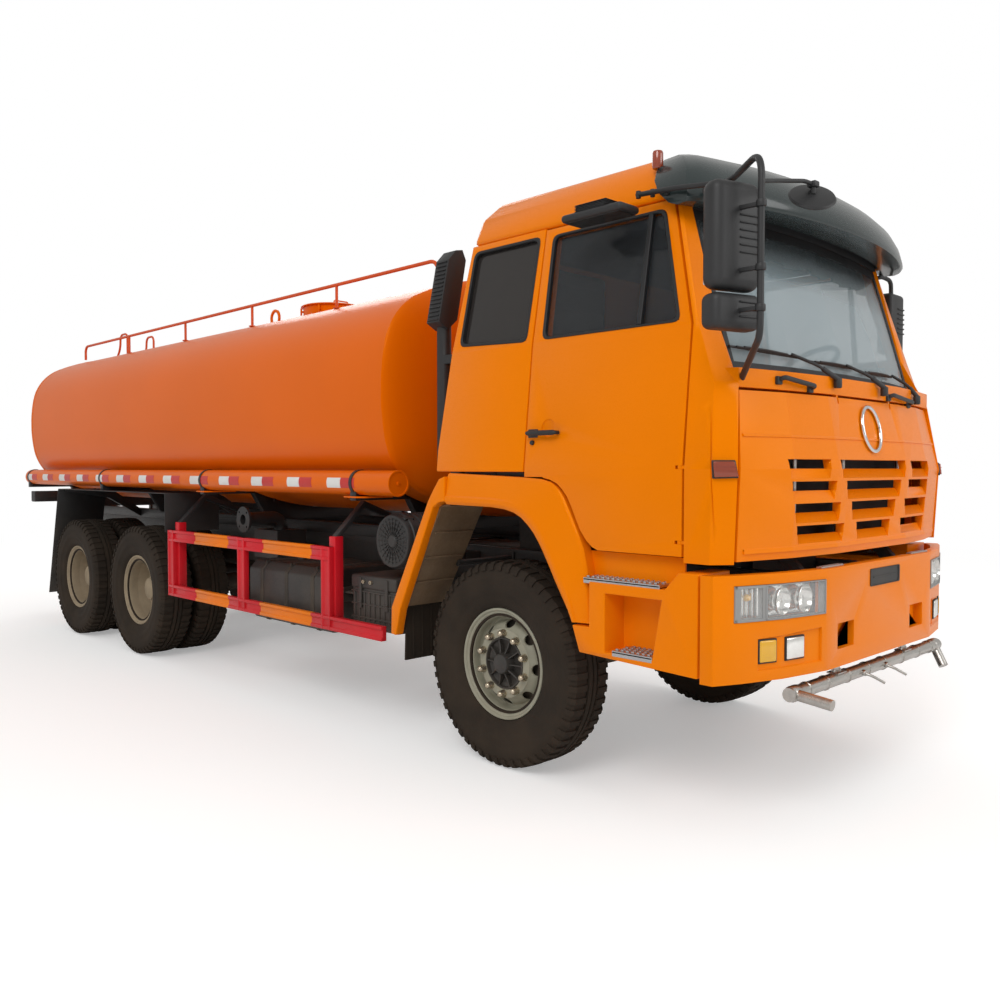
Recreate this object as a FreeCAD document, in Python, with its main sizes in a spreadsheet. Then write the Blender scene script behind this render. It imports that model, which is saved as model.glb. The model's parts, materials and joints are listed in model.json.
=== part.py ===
import FreeCAD, Part
import math
import os

import Sketcher

# Three-axle (6x4) water tanker lorry.  Millimetres, +X forward, +Y left, +Z up.
# Every piece is drawn with x measured from the front spring and z from a level one
# axle_height under the axles; each sub-part's Placement then moves it so that x = 0
# is the middle of the whole vehicle and z = 0 is the ground under the tyres.

Vector = FreeCAD.Vector
os.makedirs("parts", exist_ok=True)
doc = FreeCAD.newDocument("tanker_truck")


# ---------------------------------------------------------------- sizes
# name, value (millimetres or degrees)
SIZES = [
    ("wheelbase", 4375), ("tandem_spacing", 1400),
    ("front_reach", 1815), ("rear_reach", 7740), ("overall_half_width", 1245),
    ("running_gap", 0.3),
    # wheels
    ("axle_height", 540), ("tyre_radius", 562.5), ("tyre_width", 290), ("tyre_bead", 256),
    ("rim_flange", 298), ("front_axle_set", 40),
    ("rim_width", 216), ("rim_wall", 9), ("drum_radius", 205), ("hub_radius", 108),
    ("front_track_half", 980), ("rear_track_half", 930), ("twin_gap", 40),
    ("disc_radius", 205), ("disc_thickness", 12),
    ("kingpin_half", 800), ("kingpin_radius", 25), ("spindle_radius", 40),
    ("axle_end_radius", 55), ("steer_arm", 190), ("track_rod_height", 395),
    # frame
    ("frame_half_width", 430), ("frame_top", 1090), ("frame_height", 300),
    ("frame_flange", 80), ("frame_wall", 10), ("frame_front", 1330), ("frame_rear", 7640),
    ("sill_height", 90),
    # tank
    ("tank_front", -950), ("tank_length", 6310), ("tank_half_width", 1140),
    ("tank_half_height", 810), ("tank_centre_height", 2080), ("tank_top_radius", 2000),
    ("tank_side_radius", 1500), ("tank_corner_radius", 480), ("head_depth", 125),
    ("manhole_x", -3130), ("ring_x", -3520), ("manhole_radius", 250), ("manhole_height", 90),
    ("lid_thickness", 12), ("handrail_y", 650), ("handrail_height", 170),
    ("handrail_radius", 13), ("ring_radius", 75), ("ladder_gap", 75),
    ("ladder_half_width", 155), ("hoop_length", 190),
    # hose tubes, guards, fenders
    ("hose_tube_y", 1130), ("hose_tube_z", 1512), ("hose_tube_radius", 80),
    ("hose_tube_front", -796), ("hose_tube_rear", -7266), ("cradle_width", 60),
    ("guard_front", -830), ("guard_rear", -3703), ("guard_top", 1100), ("guard_bottom", 563),
    ("guard_rail_height", 90), ("guard_depth", 40), ("guard_post_width", 100),
    ("fender_top", 1400), ("fender_inner", 765), ("fender_thickness", 6),
    # cab
    ("cab_rear", -360), ("cab_rear_rake", 120), ("cab_half_width", 1205), ("cab_wall", 60), ("cab_bottom", 1190),
    ("cab_floor", 1600), ("belt_height", 2240), ("gutter_height", 2845), ("roof_height", 3160),
    ("door_rear", 325), ("door_front", 1278), ("panel_gap", 10),
    ("windscreen_thickness", 8), ("glass_thickness", 6), ("flap_bottom", 1200),
    ("flap_top", 1945), ("flap_wall", 40),
    ("cab_hinge_x", 1545), ("cab_hinge_z", 1020), ("cab_pin_radius", 22),
    # bumper and front
    ("bumper_top", 1147), ("bumper_bottom", 682), ("bumper_front", 1660), ("bumper_wall", 50),
    ("bumper_rear", 1402), ("lamp_gap", 0.5),
    ("door_hinge_x", 1262), ("door_hinge_y", 1190), ("door_hinge_slot", 16), ("door_hinge_eye", 14),
    ("door_hinge_low", 1270), ("door_hinge_high", 1600), ("door_pin_radius", 8),
    ("flap_hinge_x", 1535), ("flap_hinge_z", 1930), ("flap_pin_radius", 5),
    ("sprinkler_x", 1606), ("sprinkler_z", 603), ("sprinkler_radius", 32),
    ("sprinkler_tip", 1687), ("sprinkler_reach", 1790), ("dish_x", 1720), ("dish_y", 890),
]


class Size:
    """A number together with the sheet formula that gives it."""

    def __init__(self, value, formula=None):
        self.value = float(value)
        self.formula = formula if formula is not None else repr(float(value))

    def combine(self, other, sign, value):
        return Size(value, "(%s %s %s)" % (self.formula, sign, size(other).formula))

    def __add__(self, other):
        return self.combine(other, "+", self.value + size(other).value)

    def __radd__(self, other):
        return size(other) + self

    def __sub__(self, other):
        return self.combine(other, "-", self.value - size(other).value)

    def __rsub__(self, other):
        return size(other) - self

    def __mul__(self, other):
        return self.combine(other, "*", self.value * size(other).value)

    def __rmul__(self, other):
        return size(other) * self

    def __truediv__(self, other):
        return self.combine(other, "/", self.value / size(other).value)

    def __neg__(self):
        return Size(-self.value, "(0 - %s)" % self.formula)


def size(number):
    return number if isinstance(number, Size) else Size(number)


def is_bound(number):
    return "dims." in number.formula


class Dimensions:
    """The sheet's aliases, read as Size values."""

    def __init__(self, table):
        sheet = doc.addObject("Spreadsheet::Sheet", "dims")
        for row, (name, value) in enumerate(table, start=1):
            sheet.set("A%d" % row, str(value))
            sheet.set("B%d" % row, name)
            sheet.setAlias("A%d" % row, name)
            setattr(self, name, Size(value, "dims." + name))
        doc.recompute()


d = Dimensions(SIZES)
rear_axles = [-d.wheelbase, -d.wheelbase - d.tandem_spacing]
door_hinge_levels = [d.door_hinge_low, d.door_hinge_high]
front_axle_x = (d.rear_reach - d.front_reach) / 2
tandem_centre = -d.wheelbase - d.tandem_spacing / 2
twin_spacing = d.tyre_width + d.twin_gap
frame_bottom = d.frame_top - d.frame_height
sill_top = d.frame_top + d.sill_height


# ---------------------------------------------------------------- tools
def bind(item, name, number):
    number = size(number)
    item.setExpression(name, number.formula)


def place(item, x=0, y=0, z=0, rotation=None):
    spot = [size(x), size(y), size(z)]
    turn = rotation if rotation is not None else FreeCAD.Rotation()
    item.Placement = FreeCAD.Placement(Vector(*[c.value for c in spot]), turn)
    for axis, number in zip("xyz", spot):
        if is_bound(number):
            bind(item, "Placement.Base." + axis, number)
    return item


def box(x_range, y_range, z_range):
    """Box between two planes each way."""
    item = doc.addObject("Part::Box", "block")
    starts = []
    for name, (low, high) in zip(("Length", "Width", "Height"), (x_range, y_range, z_range)):
        bind(item, name, size(high) - size(low))
        starts.append(low)
    return place(item, *starts)


TURN = {"x": FreeCAD.Rotation(Vector(0, 1, 0), 90), "y": FreeCAD.Rotation(Vector(1, 0, 0), -90),
        "z": FreeCAD.Rotation()}


def rod(axis, radius, start, end, x=0, y=0, z=0):
    """Cylinder along one axis from start to end; the other two places are given."""
    item = doc.addObject("Part::Cylinder", "rod")
    bind(item, "Radius", radius)
    bind(item, "Height", size(end) - size(start))
    spot = {"x": x, "y": y, "z": z}
    spot[axis] = start
    return place(item, spot["x"], spot["y"], spot["z"], TURN[axis])


def origin_plane(body, role):
    return [item for item in body.Origin.OriginFeatures if item.Role == role][0]


def sketch(body, plane, outline, offset=0):
    """Closed outline of lines and three-point arcs on one of the body's planes.

    Each point is (u, v); a point (u, v, (mid_u, mid_v)) is reached by an arc.
    """
    item = body.newObject("Sketcher::SketchObject", "outline")
    item.AttachmentSupport = [(origin_plane(body, plane + "_Plane"), "")]
    item.MapMode = "FlatFace"
    item.AttachmentOffset = FreeCAD.Placement(Vector(0, 0, size(offset).value), FreeCAD.Rotation())
    if is_bound(size(offset)):
        bind(item, "AttachmentOffset.Base.z", offset)
    points = [(size(p[0]), size(p[1])) for p in outline]
    count = len(points)
    for i in range(count):
        u0, v0 = points[i - 1]
        u1, v1 = points[i]
        start = Vector(u0.value, v0.value, 0)
        end = Vector(u1.value, v1.value, 0)
        if len(outline[i]) == 3:
            middle = Vector(*[size(c).value for c in outline[i][2]], 0)
            item.addGeometry(Part.Arc(start, middle, end), False)
        else:
            item.addGeometry(Part.LineSegment(start, end), False)
    ends = [edge_end(item, i, points[i]) for i in range(count)]
    for i in range(count):
        following = (i + 1) % count
        item.addConstraint(Sketcher.Constraint("Coincident", i, ends[i], following, 3 - ends[following]))
    for i, (u, v) in enumerate(points):
        for kind, number in (("DistanceX", u), ("DistanceY", v)):
            rule = item.addConstraint(Sketcher.Constraint(kind, -1, 1, i, ends[i], number.value))
            if is_bound(number):
                bind(item, "Constraints[%d]" % rule, number)
    return item


def edge_end(item, index, point):
    """Which of an edge's two ends (1 or 2) lies at the point."""
    u, v = point
    last = item.getPoint(index, 2)
    near = math.hypot(last.x - u.value, last.y - v.value) < 1e-6
    return 2 if near else 1


def prism(plane, outline, start, end):
    """Outline on XY, XZ or YZ, padded along the third axis from start to end."""
    body = doc.addObject("PartDesign::Body", "prism")
    profile = sketch(body, plane, outline)
    pad = body.newObject("PartDesign::Pad", "pad")
    pad.Profile = profile
    pad.Reversed = plane == "XZ"
    bind(pad, "Length", size(end) - size(start))
    profile.Visibility = False
    spot = {"XY": (0, 0, start), "XZ": (0, start, 0), "YZ": (start, 0, 0)}[plane]
    return place(body, *spot)


def loft(plane, sections):
    """Ruled loft through (offset, outline) sections on parallel planes."""
    body = doc.addObject("PartDesign::Body", "loft")
    profiles = [sketch(body, plane, outline, offset) for offset, outline in sections]
    shape = body.newObject("PartDesign::AdditiveLoft", "shape")
    shape.Profile = profiles[0]
    shape.Sections = profiles[1:]
    shape.Ruled = True
    return body


def turned(outline, x=0, y=0, z=0):
    """Outline of (y, radius) points turned about the Y axis through a place."""
    body = doc.addObject("PartDesign::Body", "turned")
    profile = sketch(body, "YZ", outline)
    shape = body.newObject("PartDesign::Revolution", "shape")
    shape.Profile = profile
    shape.ReferenceAxis = (profile, ["H_Axis"])
    shape.Angle = 360
    return place(body, x, y, z)


def join(*items):
    if len(items) == 1:
        return items[0]
    item = doc.addObject("Part::MultiFuse", "joined")
    item.Shapes = list(items)
    return item


def cut(base, *tools):
    item = doc.addObject("Part::Cut", "cut")
    item.Base = base
    item.Tool = join(*tools)
    return item


def common(first, second):
    item = doc.addObject("Part::Common", "common")
    item.Base = first
    item.Tool = second
    return item


def mirrored(source):
    """The same piece on the other side of the vehicle."""
    item = doc.addObject("Part::Mirroring", "mirrored")
    item.Source = source
    item.Normal = Vector(0, 1, 0)
    return item


def both(item):
    return [item, mirrored(item)]


def pipe(route, radius, bend):
    """Round bar along straight runs joined by tangent arcs."""
    points = [Vector(*[size(c).value for c in point]) for point in route]
    radius = size(radius).value
    bend = size(bend).value
    edges = []
    start = points[0]
    for before, corner, after in zip(points, points[1:], points[2:]):
        back = (before - corner).normalize()
        ahead = (after - corner).normalize()
        half = back.getAngle(ahead) / 2
        reach = bend / math.tan(half)
        enter = corner + back * reach
        leave = corner + ahead * reach
        inward = (back + ahead).normalize()
        middle = corner + inward * (bend / math.sin(half) - bend)
        edges.append(Part.LineSegment(start, enter).toShape())
        edges.append(Part.Arc(enter, middle, leave).toShape())
        start = leave
    edges.append(Part.LineSegment(start, points[-1]).toShape())
    path = Part.Wire(edges)
    ring = Part.Wire(Part.makeCircle(radius, points[0], points[1] - points[0]))
    item = doc.addObject("Part::Feature", "pipe")
    item.Shape = path.makePipeShell([ring], True, False)
    return item


NODES = []


def node(label, *items, forward=0):
    """One named sub-part: its solids together, moved to the vehicle's frame."""
    item = doc.addObject("Part::Compound", "node_" + label)
    item.Label = label
    item.Links = list(items)
    place(item, front_axle_x + forward, 0, d.tyre_radius - d.axle_height)
    NODES.append(item)


# ---------------------------------------------------------------- wheels
def tyre(x, y):
    half = d.tyre_width / 2
    bead = d.rim_width / 2 - d.rim_wall - d.running_gap
    crown = half - 30
    lip = d.rim_flange + 2
    outline = [
        (-bead, d.tyre_bead), (bead, d.tyre_bead), (bead, lip),
        (half - 12, d.tyre_radius - 30, (half, d.tyre_radius - 140)),
        (crown, d.tyre_radius), (-crown, d.tyre_radius), (12 - half, d.tyre_radius - 30),
        (-bead, lip, (-half, d.tyre_radius - 140)),
    ]
    return turned(outline, x, y, d.axle_height)


def rim_outline(disc_edge, disc_face):
    """Half section of barrel, flanges and disc; the disc runs from disc_edge to disc_face."""
    half = d.rim_width / 2
    seat = d.tyre_bead - d.running_gap
    bore = seat - d.rim_wall
    hub = d.hub_radius - 2
    return [
        (-half, bore), (-half, d.rim_flange), (d.rim_wall - half, d.rim_flange),
        (d.rim_wall - half, seat), (half - d.rim_wall, seat), (half - d.rim_wall, d.rim_flange),
        (half, d.rim_flange), (half, bore), (disc_edge + d.disc_thickness, bore),
        (disc_face, d.disc_radius), (disc_face, hub),
        (disc_face - d.disc_thickness, hub), (disc_face - d.disc_thickness, d.disc_radius - 4),
        (disc_edge, bore),
    ]


def front_wheel(side, x, y):
    """Rim, hub and brake drum of a single front wheel, on the left side."""
    axle = d.axle_height
    bore = d.spindle_radius + d.running_gap
    rim = turned(rim_outline(size(8), size(66)), x, y, axle)
    hub = rod("y", d.hub_radius, y - 86, y + 110, x, 0, axle)
    cap = rod("y", 72, y + 110, y + 138, x, 0, axle)
    plate = rod("y", d.drum_radius, y - 30, y - 18, x, 0, axle)
    drum = cut(rod("y", d.drum_radius, y - 140, y - 30, x, 0, axle),
               rod("y", d.drum_radius - 14, y - 140, y - 30, x, 0, axle))
    socket = rod("y", bore, y - 86, y + 60, x, 0, axle)
    wheel = cut(join(rim, hub, cap, plate, drum), socket)
    bore_gap = tyre(x, y)
    if side == "right":
        return mirrored(bore_gap), mirrored(wheel)
    return bore_gap, wheel


def rear_wheel(side, x, y):
    """Twin tyres, and the two rims with hub and drum, on the left side."""
    axle = d.axle_height
    half = twin_spacing / 2
    bore = d.axle_end_radius + d.running_gap
    rims = []
    for sign in (1, -1):
        rim = turned(rim_outline(half - 95, half - 12), x, 0, axle)
        inward = mirrored(rim)
        inward.Placement.Base.y = 0
        rims.append(place_twin(rim if sign < 0 else inward, y, sign * half))
    hub = rod("y", d.hub_radius, y - 240, y + 150, x, 0, axle)
    cap = rod("y", 88, y + 150, y + 168, x, 0, axle)
    plate = rod("y", d.drum_radius, y - 110, y - 96, x, 0, axle)
    drum = cut(rod("y", d.drum_radius, y - 285, y - 110, x, 0, axle),
               rod("y", d.drum_radius - 16, y - 285, y - 110, x, 0, axle))
    socket = rod("y", bore, y - 240, y + 120, x, 0, axle)
    wheel = cut(join(*rims, hub, cap, plate, drum), socket)
    tyres = [tyre(x, y - half), tyre(x, y + half)]
    if side == "right":
        return [mirrored(t) for t in tyres], mirrored(wheel)
    return tyres, wheel


def place_twin(rim, y, offset):
    """A link to a rim at its own place across the axle."""
    item = doc.addObject("Part::Compound", "twin")
    item.Links = [rim]
    return place(item, 0, y + offset, 0)


def wheels():
    for side in ("left", "right"):
        rubber, wheel = front_wheel(side, size(0), d.front_track_half)
        node("front_tyre_" + side, rubber, forward=d.front_axle_set)
        node("front_wheel_" + side, wheel, forward=d.front_axle_set)
        for number, x in enumerate(rear_axles, start=1):
            rubber, wheel = rear_wheel(side, x, d.rear_track_half)
            node("rear_tyres_%d_%s" % (number, side), *rubber)
            node("rear_wheels_%d_%s" % (number, side), wheel)


# ---------------------------------------------------------------- axles and steering
def knuckle(side):
    """Yoke round the beam end, king pin, spindle and steering arm, on the left side."""
    axle = d.axle_height
    y = d.kingpin_half
    web_inner = y + 62
    web_outer = y + 88
    reach = 112
    web = box((-50, 50), (web_inner, web_outer), (axle - reach, axle + reach))
    ears = [
        box((-50, 50), (y - 40, web_inner), (axle + 75, axle + reach)),
        box((-50, 50), (y - 40, web_inner), (axle - reach, axle - 75)),
    ]
    pin = rod("z", d.kingpin_radius, axle - reach, axle + reach, 0, y)
    spindle = rod("y", d.spindle_radius, web_outer - 5, d.front_track_half + 55, 0, 0, axle)
    arm = box((-d.steer_arm - 28, -40), (y - 26, y + 22), (axle - reach, axle - 78))
    eye = rod("z", 14, d.track_rod_height - 30, axle - reach, -d.steer_arm, y)
    whole = join(web, *ears, pin, spindle, arm, eye)
    return mirrored(whole) if side == "right" else whole


def axles():
    axle = d.axle_height
    ends = [rod("z", 52, axle - 70, axle + 70, 0, s * d.kingpin_half) for s in (1, -1)]
    low = axle - 120
    beam = prism("YZ", [
        (-d.kingpin_half, axle - 45), (-d.kingpin_half + 130, axle - 45),
        (-d.frame_half_width - 40, low), (d.frame_half_width + 40, low),
        (d.kingpin_half - 130, axle - 45), (d.kingpin_half, axle - 45),
        (d.kingpin_half, axle + 45), (d.kingpin_half - 150, axle + 45),
        (d.frame_half_width + 20, low + 80), (-d.frame_half_width - 20, low + 80),
        (-d.kingpin_half + 150, axle + 45), (-d.kingpin_half, axle + 45),
    ], size(-42), size(42))
    bores = [rod("z", d.kingpin_radius + d.running_gap, axle - 80, axle + 80, 0, s * d.kingpin_half)
             for s in (1, -1)]
    node("front_axle_beam", cut(join(beam, *ends), *bores), forward=d.front_axle_set)

    rod_bore = size(14) + d.running_gap
    bar = rod("y", 20, -d.kingpin_half, d.kingpin_half, -d.steer_arm, 0, d.track_rod_height)
    eyes = [rod("z", 32, d.track_rod_height - 26, d.track_rod_height + 26, -d.steer_arm,
                s * d.kingpin_half) for s in (1, -1)]
    holes = [rod("z", rod_bore, d.track_rod_height - 40, d.track_rod_height + 40, -d.steer_arm,
                 s * d.kingpin_half) for s in (1, -1)]
    node("track_rod", cut(join(bar, *eyes), *holes), forward=d.front_axle_set)
    for side in ("left", "right"):
        node("steering_knuckle_" + side, knuckle(side), forward=d.front_axle_set)

    housings = []
    for x in rear_axles:
        inner_end = d.rear_track_half - 300
        tube = rod("y", 78, -inner_end, inner_end, x, 0, axle)
        spindles = rod("y", d.axle_end_radius, -d.rear_track_half - 110, d.rear_track_half + 110,
                       x, 0, axle)
        case = prism("XZ", [(x - 150, axle - 190), (x + 150, axle - 190), (x + 215, axle - 60),
                            (x + 215, axle + 80), (x + 120, axle + 205), (x - 120, axle + 205),
                            (x - 200, axle + 80), (x - 200, axle - 60)], size(-150), size(150))
        seats = [box((x - 60, x + 60), (s * 505 - 45, s * 505 + 45), (axle, axle + 110))
                 for s in (1, -1)]
        boss = box((x - 230, x + 230), (-55, 55), (axle + 90, axle + 200))
        nose = rod("x", 62, x, x + 240, 0, 0, axle + 40)
        housings.append(join(tube, spindles, case, boss, nose, *seats))
    node("rear_axles", *housings)


def springs():
    """Front leaf packs under the rails and the inverted packs of the tandem."""
    axle = d.axle_height
    seat = axle - 120 + 80 + d.running_gap
    inner = d.frame_half_width - d.frame_flange + 5
    front = prism("XZ", [
        (-170, seat), (170, seat), (330, seat + 40), (330, seat + 55), (800, seat + 140),
        (800, seat + 160), (0, seat + 95), (-800, seat + 160), (-800, seat + 140),
        (-330, seat + 55), (-330, seat + 40)], inner, inner + 75)
    low = axle + 110 + d.running_gap
    reach = d.tandem_spacing / 2
    middle = tandem_centre
    rear = prism("XZ", [
        (middle - reach - 60, low), (middle - reach + 90, low), (middle - 120, low + 15),
        (middle + 120, low + 15), (middle + reach - 90, low), (middle + reach + 60, low),
        (middle + reach + 60, low + 22), (middle + 320, low + 110), (middle + 90, low + 190),
        (middle - 90, low + 190), (middle - 320, low + 110), (middle - reach - 60, low + 22),
    ], size(465), size(545))
    node("leaf_springs", *both(front), *both(rear))


# ---------------------------------------------------------------- frame and drive line
def frame():
    outer = d.frame_half_width
    rail = prism("YZ", [
        (outer - d.frame_flange, frame_bottom), (outer, frame_bottom), (outer, d.frame_top),
        (outer - d.frame_flange, d.frame_top), (outer - d.frame_flange, d.frame_top - d.frame_wall),
        (outer - d.frame_wall, d.frame_top - d.frame_wall),
        (outer - d.frame_wall, frame_bottom + d.frame_wall),
        (outer - d.frame_flange, frame_bottom + d.frame_wall),
    ], -d.frame_rear, d.frame_front)
    inner = outer - d.frame_wall
    members = []
    # place along the frame, bottom above the rail's foot, height
    share = d.frame_height / 300
    for x, lift, height in ((1240, 30, 90), (-1500, 175, 110), (-2600, 150, 130), (-3600, 60, 200),
                            (-5075, 60, 200), (-6500, 40, 220), (-7600, 10, 280)):
        members.append(box((x - 40, x + 40), (-inner, inner),
                           (frame_bottom + share * lift, frame_bottom + share * (lift + height))))
    seat = d.axle_height - 120 + 80 + d.running_gap
    brackets = []
    for s in (1, -1):
        low, high = sorted((s * (outer.value - 75), s * outer.value))
        for x in (-800, 800):
            brackets.append(box((x - 45, x + 45), (low, high),
                                (seat + 160 + d.running_gap, frame_bottom)))
        low, high = sorted((s * outer.value, s * (outer.value + 30)))
        brackets.append(box((tandem_centre - 130, tandem_centre + 130), (low, high),
                            (d.axle_height - 20, frame_bottom + 120)))
    trunnion = rod("y", 50, -(outer + 115), outer + 115, tandem_centre, 0, d.axle_height + 45)
    saddles = [box((tandem_centre - 90, tandem_centre + 90), (s * 505 - 40, s * 505 + 40),
                   (d.axle_height + 60, d.axle_height + 110 + 15)) for s in (1, -1)]
    horn_bottom = frame_bottom + 5
    horns = []
    for s in (1, -1):
        low, high = sorted((s * (outer.value - 80), s * outer.value))
        horns.append(box((d.frame_front - 60, d.bumper_front - d.bumper_wall), (low, high),
                         (horn_bottom, horn_bottom + 100)))
    ears = []
    for s in (1, -1):
        low, high = sorted((s * 462.0, s * 482.0))
        ears.append(prism("XZ", [
            (d.frame_front - 60, d.cab_hinge_z - 130), (d.frame_front, d.cab_hinge_z - 130),
            (d.cab_hinge_x + 30, d.cab_hinge_z - 40), (d.cab_hinge_x + 30, d.cab_hinge_z + 28),
            (d.cab_hinge_x - 30, d.cab_hinge_z + 28), (d.frame_front - 60, d.cab_hinge_z + 10)],
            low, high))
        low, high = sorted((s * outer.value, s * 466.0))
        ears.append(box((d.frame_front - 60, d.frame_front), (low, high),
                        (d.cab_hinge_z - 130, d.cab_hinge_z - 10)))
    hole = rod("y", d.cab_pin_radius + d.running_gap, -520, 520, d.cab_hinge_x, 0, d.cab_hinge_z)
    steel = join(rail, mirrored(rail), *members, *brackets, trunnion, *saddles, *horns, *ears)
    node("chassis_frame", cut(steel, hole))


def drive_line():
    engine = box((-560, 680), (-330, 330), (730, 1440))
    gearbox = box((-1330, -560), (-200, 200), (740, 1080))
    node("engine_gearbox", join(engine, gearbox))
    axle = d.axle_height
    front_end = rear_axles[0] + 240 + d.running_gap
    gearbox_end = -1330 - d.running_gap
    shaft = pipe([(gearbox_end, 0, 900), (-1550, 0, 900), (-2450, 0, 850),
                  (front_end + 160, 0, axle + 40), (front_end, 0, axle + 40)], 52, 300)
    link = rod("x", 45, rear_axles[1] + 230 + d.running_gap, rear_axles[0] - 230 - d.running_gap,
               0, 0, axle + 150)
    node("propeller_shafts", shaft, link)
    core = box((1060, 1130), (-345, 345), (850, 1480))
    foot_low = frame_bottom + d.frame_wall + d.running_gap
    feet = [box((1075, 1115), (s * 360 - 20, s * 360 + 20), (foot_low, 880)) for s in (1, -1)]
    node("radiator", join(core, *feet))


# ---------------------------------------------------------------- tank
def tank_outline(scale=1.0, margin=0):
    """Closed four-centre oval: top and bottom arcs, side arcs and equal corner arcs."""
    wide = d.tank_half_width.value + margin
    high = d.tank_half_height.value + margin
    top = d.tank_top_radius.value + margin
    side = d.tank_side_radius.value + margin
    corner = d.tank_corner_radius.value + margin
    # corner centre: at top - corner from the top arc's centre, side - corner from the side's
    first = (0.0, high - top)
    second = (wide - side, 0.0)
    reach_first = top - corner
    reach_second = side - corner
    gap = math.hypot(second[0] - first[0], second[1] - first[1])
    along = (reach_first ** 2 - reach_second ** 2 + gap ** 2) / (2 * gap)
    across = math.sqrt(reach_first ** 2 - along ** 2)
    unit = ((second[0] - first[0]) / gap, (second[1] - first[1]) / gap)
    centre = (first[0] + unit[0] * along - unit[1] * across,
              first[1] + unit[1] * along + unit[0] * across)
    if centre[0] < 0:
        centre = (first[0] + unit[0] * along + unit[1] * across,
                  first[1] + unit[1] * along - unit[0] * across)

    def toward(origin):
        angle = math.atan2(centre[1] - origin[1], centre[0] - origin[0])
        return (centre[0] + corner * math.cos(angle), centre[1] + corner * math.sin(angle)), angle

    upper, angle_upper = toward(first)
    lower, angle_lower = toward(second)
    half_way = (angle_upper + angle_lower) / 2
    knee = (centre[0] + corner * math.cos(half_way), centre[1] + corner * math.sin(half_way))

    def at(point, flip_y=1, flip_z=1):
        return (point[0] * flip_y * scale, point[1] * flip_z * scale)

    def arc(end, middle):
        return (end[0], end[1], middle)

    return [
        arc(at(upper), at((0, high))),
        arc(at(lower), at(knee)),
        arc(at(lower, 1, -1), at((wide, 0))),
        arc(at(upper, 1, -1), at(knee, 1, -1)),
        arc(at(upper, -1, -1), at((0, high), 1, -1)),
        arc(at(lower, -1, -1), at(knee, -1, -1)),
        arc(at(lower, -1, 1), at((wide, 0), -1)),
        arc(at(upper, -1, 1), at(knee, -1, 1)),
    ]


def tank_prism(margin, start, end):
    body = prism("YZ", tank_outline(1.0, margin), start, end)
    bind(body, "Placement.Base.z", d.tank_centre_height)
    return body


def tank_head(front):
    """Shallow dished head: outline, its scale, and how far out it lies."""
    steps = ((1.0, 0.0), (0.955, 0.42), (0.86, 0.68), (0.60, 0.90), (0.25, 1.0))
    sign = 1 if front else -1
    base = d.tank_front if front else d.tank_front - d.tank_length
    head = loft("YZ", [(base + sign * out * d.head_depth, tank_outline(scale))
                       for scale, out in steps])
    bind(head, "Placement.Base.z", d.tank_centre_height)
    return head


def tank():
    shell = tank_prism(0, d.tank_front - d.tank_length, d.tank_front)
    heads = [tank_head(True), tank_head(False)]
    top = d.tank_centre_height + d.tank_half_height
    neck = rod("z", d.manhole_radius, top - 60, top + d.manhole_height, d.manhole_x)
    rings = []
    sag = 27
    for s in (1, -1):
        y = s * 330.0
        hoop = cut(rod("y", d.ring_radius, y - 10, y + 10, d.ring_x, 0, top - sag + 45),
                   rod("y", d.ring_radius - 32, y - 20, y + 20, d.ring_x, 0, top - sag + 45))
        rings.append(hoop)
    hinge_x = d.manhole_x - d.manhole_radius - 40
    ears = []
    for s in (1, -1):
        low, high = sorted((s * 62.0, s * 78.0))
        ears.append(box((hinge_x - 18, hinge_x + 12), (low, high), (top - 20, top + d.manhole_height + 34)))
    pin_hole = rod("y", 8 + d.running_gap, -100, 100, hinge_x, 0, top + d.manhole_height + 18)
    node("tank_shell", cut(join(shell, *heads, neck, *rings, *ears), pin_hole))

    lid_low = top + d.manhole_height + d.running_gap
    lid = rod("z", d.manhole_radius + 22, lid_low, lid_low + d.lid_thickness, d.manhole_x)
    dome = rod("z", d.manhole_radius - 60, lid_low + d.lid_thickness, lid_low + 2 * d.lid_thickness,
               d.manhole_x)
    strap = box((hinge_x - 12, d.manhole_x), (-50, 50), (lid_low + 6, lid_low + 30))
    pin = rod("y", 8, -84, 84, hinge_x, 0, top + d.manhole_height + 18)
    node("manhole_lid", join(lid, dome, strap, pin))

    rail_top = top + 65
    side_z = top - 108
    rails = []
    front = -985
    rear = -6980
    run = pipe([(front, d.handrail_y, side_z), (front, d.handrail_y, rail_top),
                (rear, d.handrail_y, rail_top), (rear, d.handrail_y, side_z)],
               d.handrail_radius, 90)
    posts = [rod("z", d.handrail_radius - 2, side_z, rail_top, x, d.handrail_y)
             for x in (-2130, -3350, -4560, -5810)]
    trim = tank_prism(d.running_gap.value, d.tank_front - d.tank_length, d.tank_front)
    rail = cut(join(run, *posts), trim)
    node("tank_handrails", *both(rail), cut(ladder(top), trim))


def ladder(top):
    """Rear ladder whose side bars end in two hoops on the tank's top."""
    back = d.tank_front - d.tank_length - d.head_depth - d.ladder_gap
    hoop_rear = d.tank_front - d.tank_length + 25
    hoop_front = hoop_rear + d.hoop_length
    half = d.ladder_half_width
    foot = d.tank_centre_height - 750
    pieces = []
    for s in (1, -1):
        y = half * s
        pieces.append(pipe([(back, y, foot), (back, y, top - 110), (hoop_rear - 15, y, top + 110),
                            (hoop_rear, y, top + 270), (hoop_front, y, top + 270), (hoop_front, y, top - 40)],
                           d.handrail_radius - 1, 60))
        for level in (300, 950):
            pieces.append(box((back - 5, back + d.ladder_gap + 40), (y - 8, y + 8), (foot + level, foot + level + 40)))
    for number in range(5):
        pieces.append(rod("y", 11, -half, half, back, 0, foot + 60 + 290 * number))
    head = tank_head(False)
    bind(head, "Placement.Base.x", -d.running_gap)
    return cut(join(*pieces), head)


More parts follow.
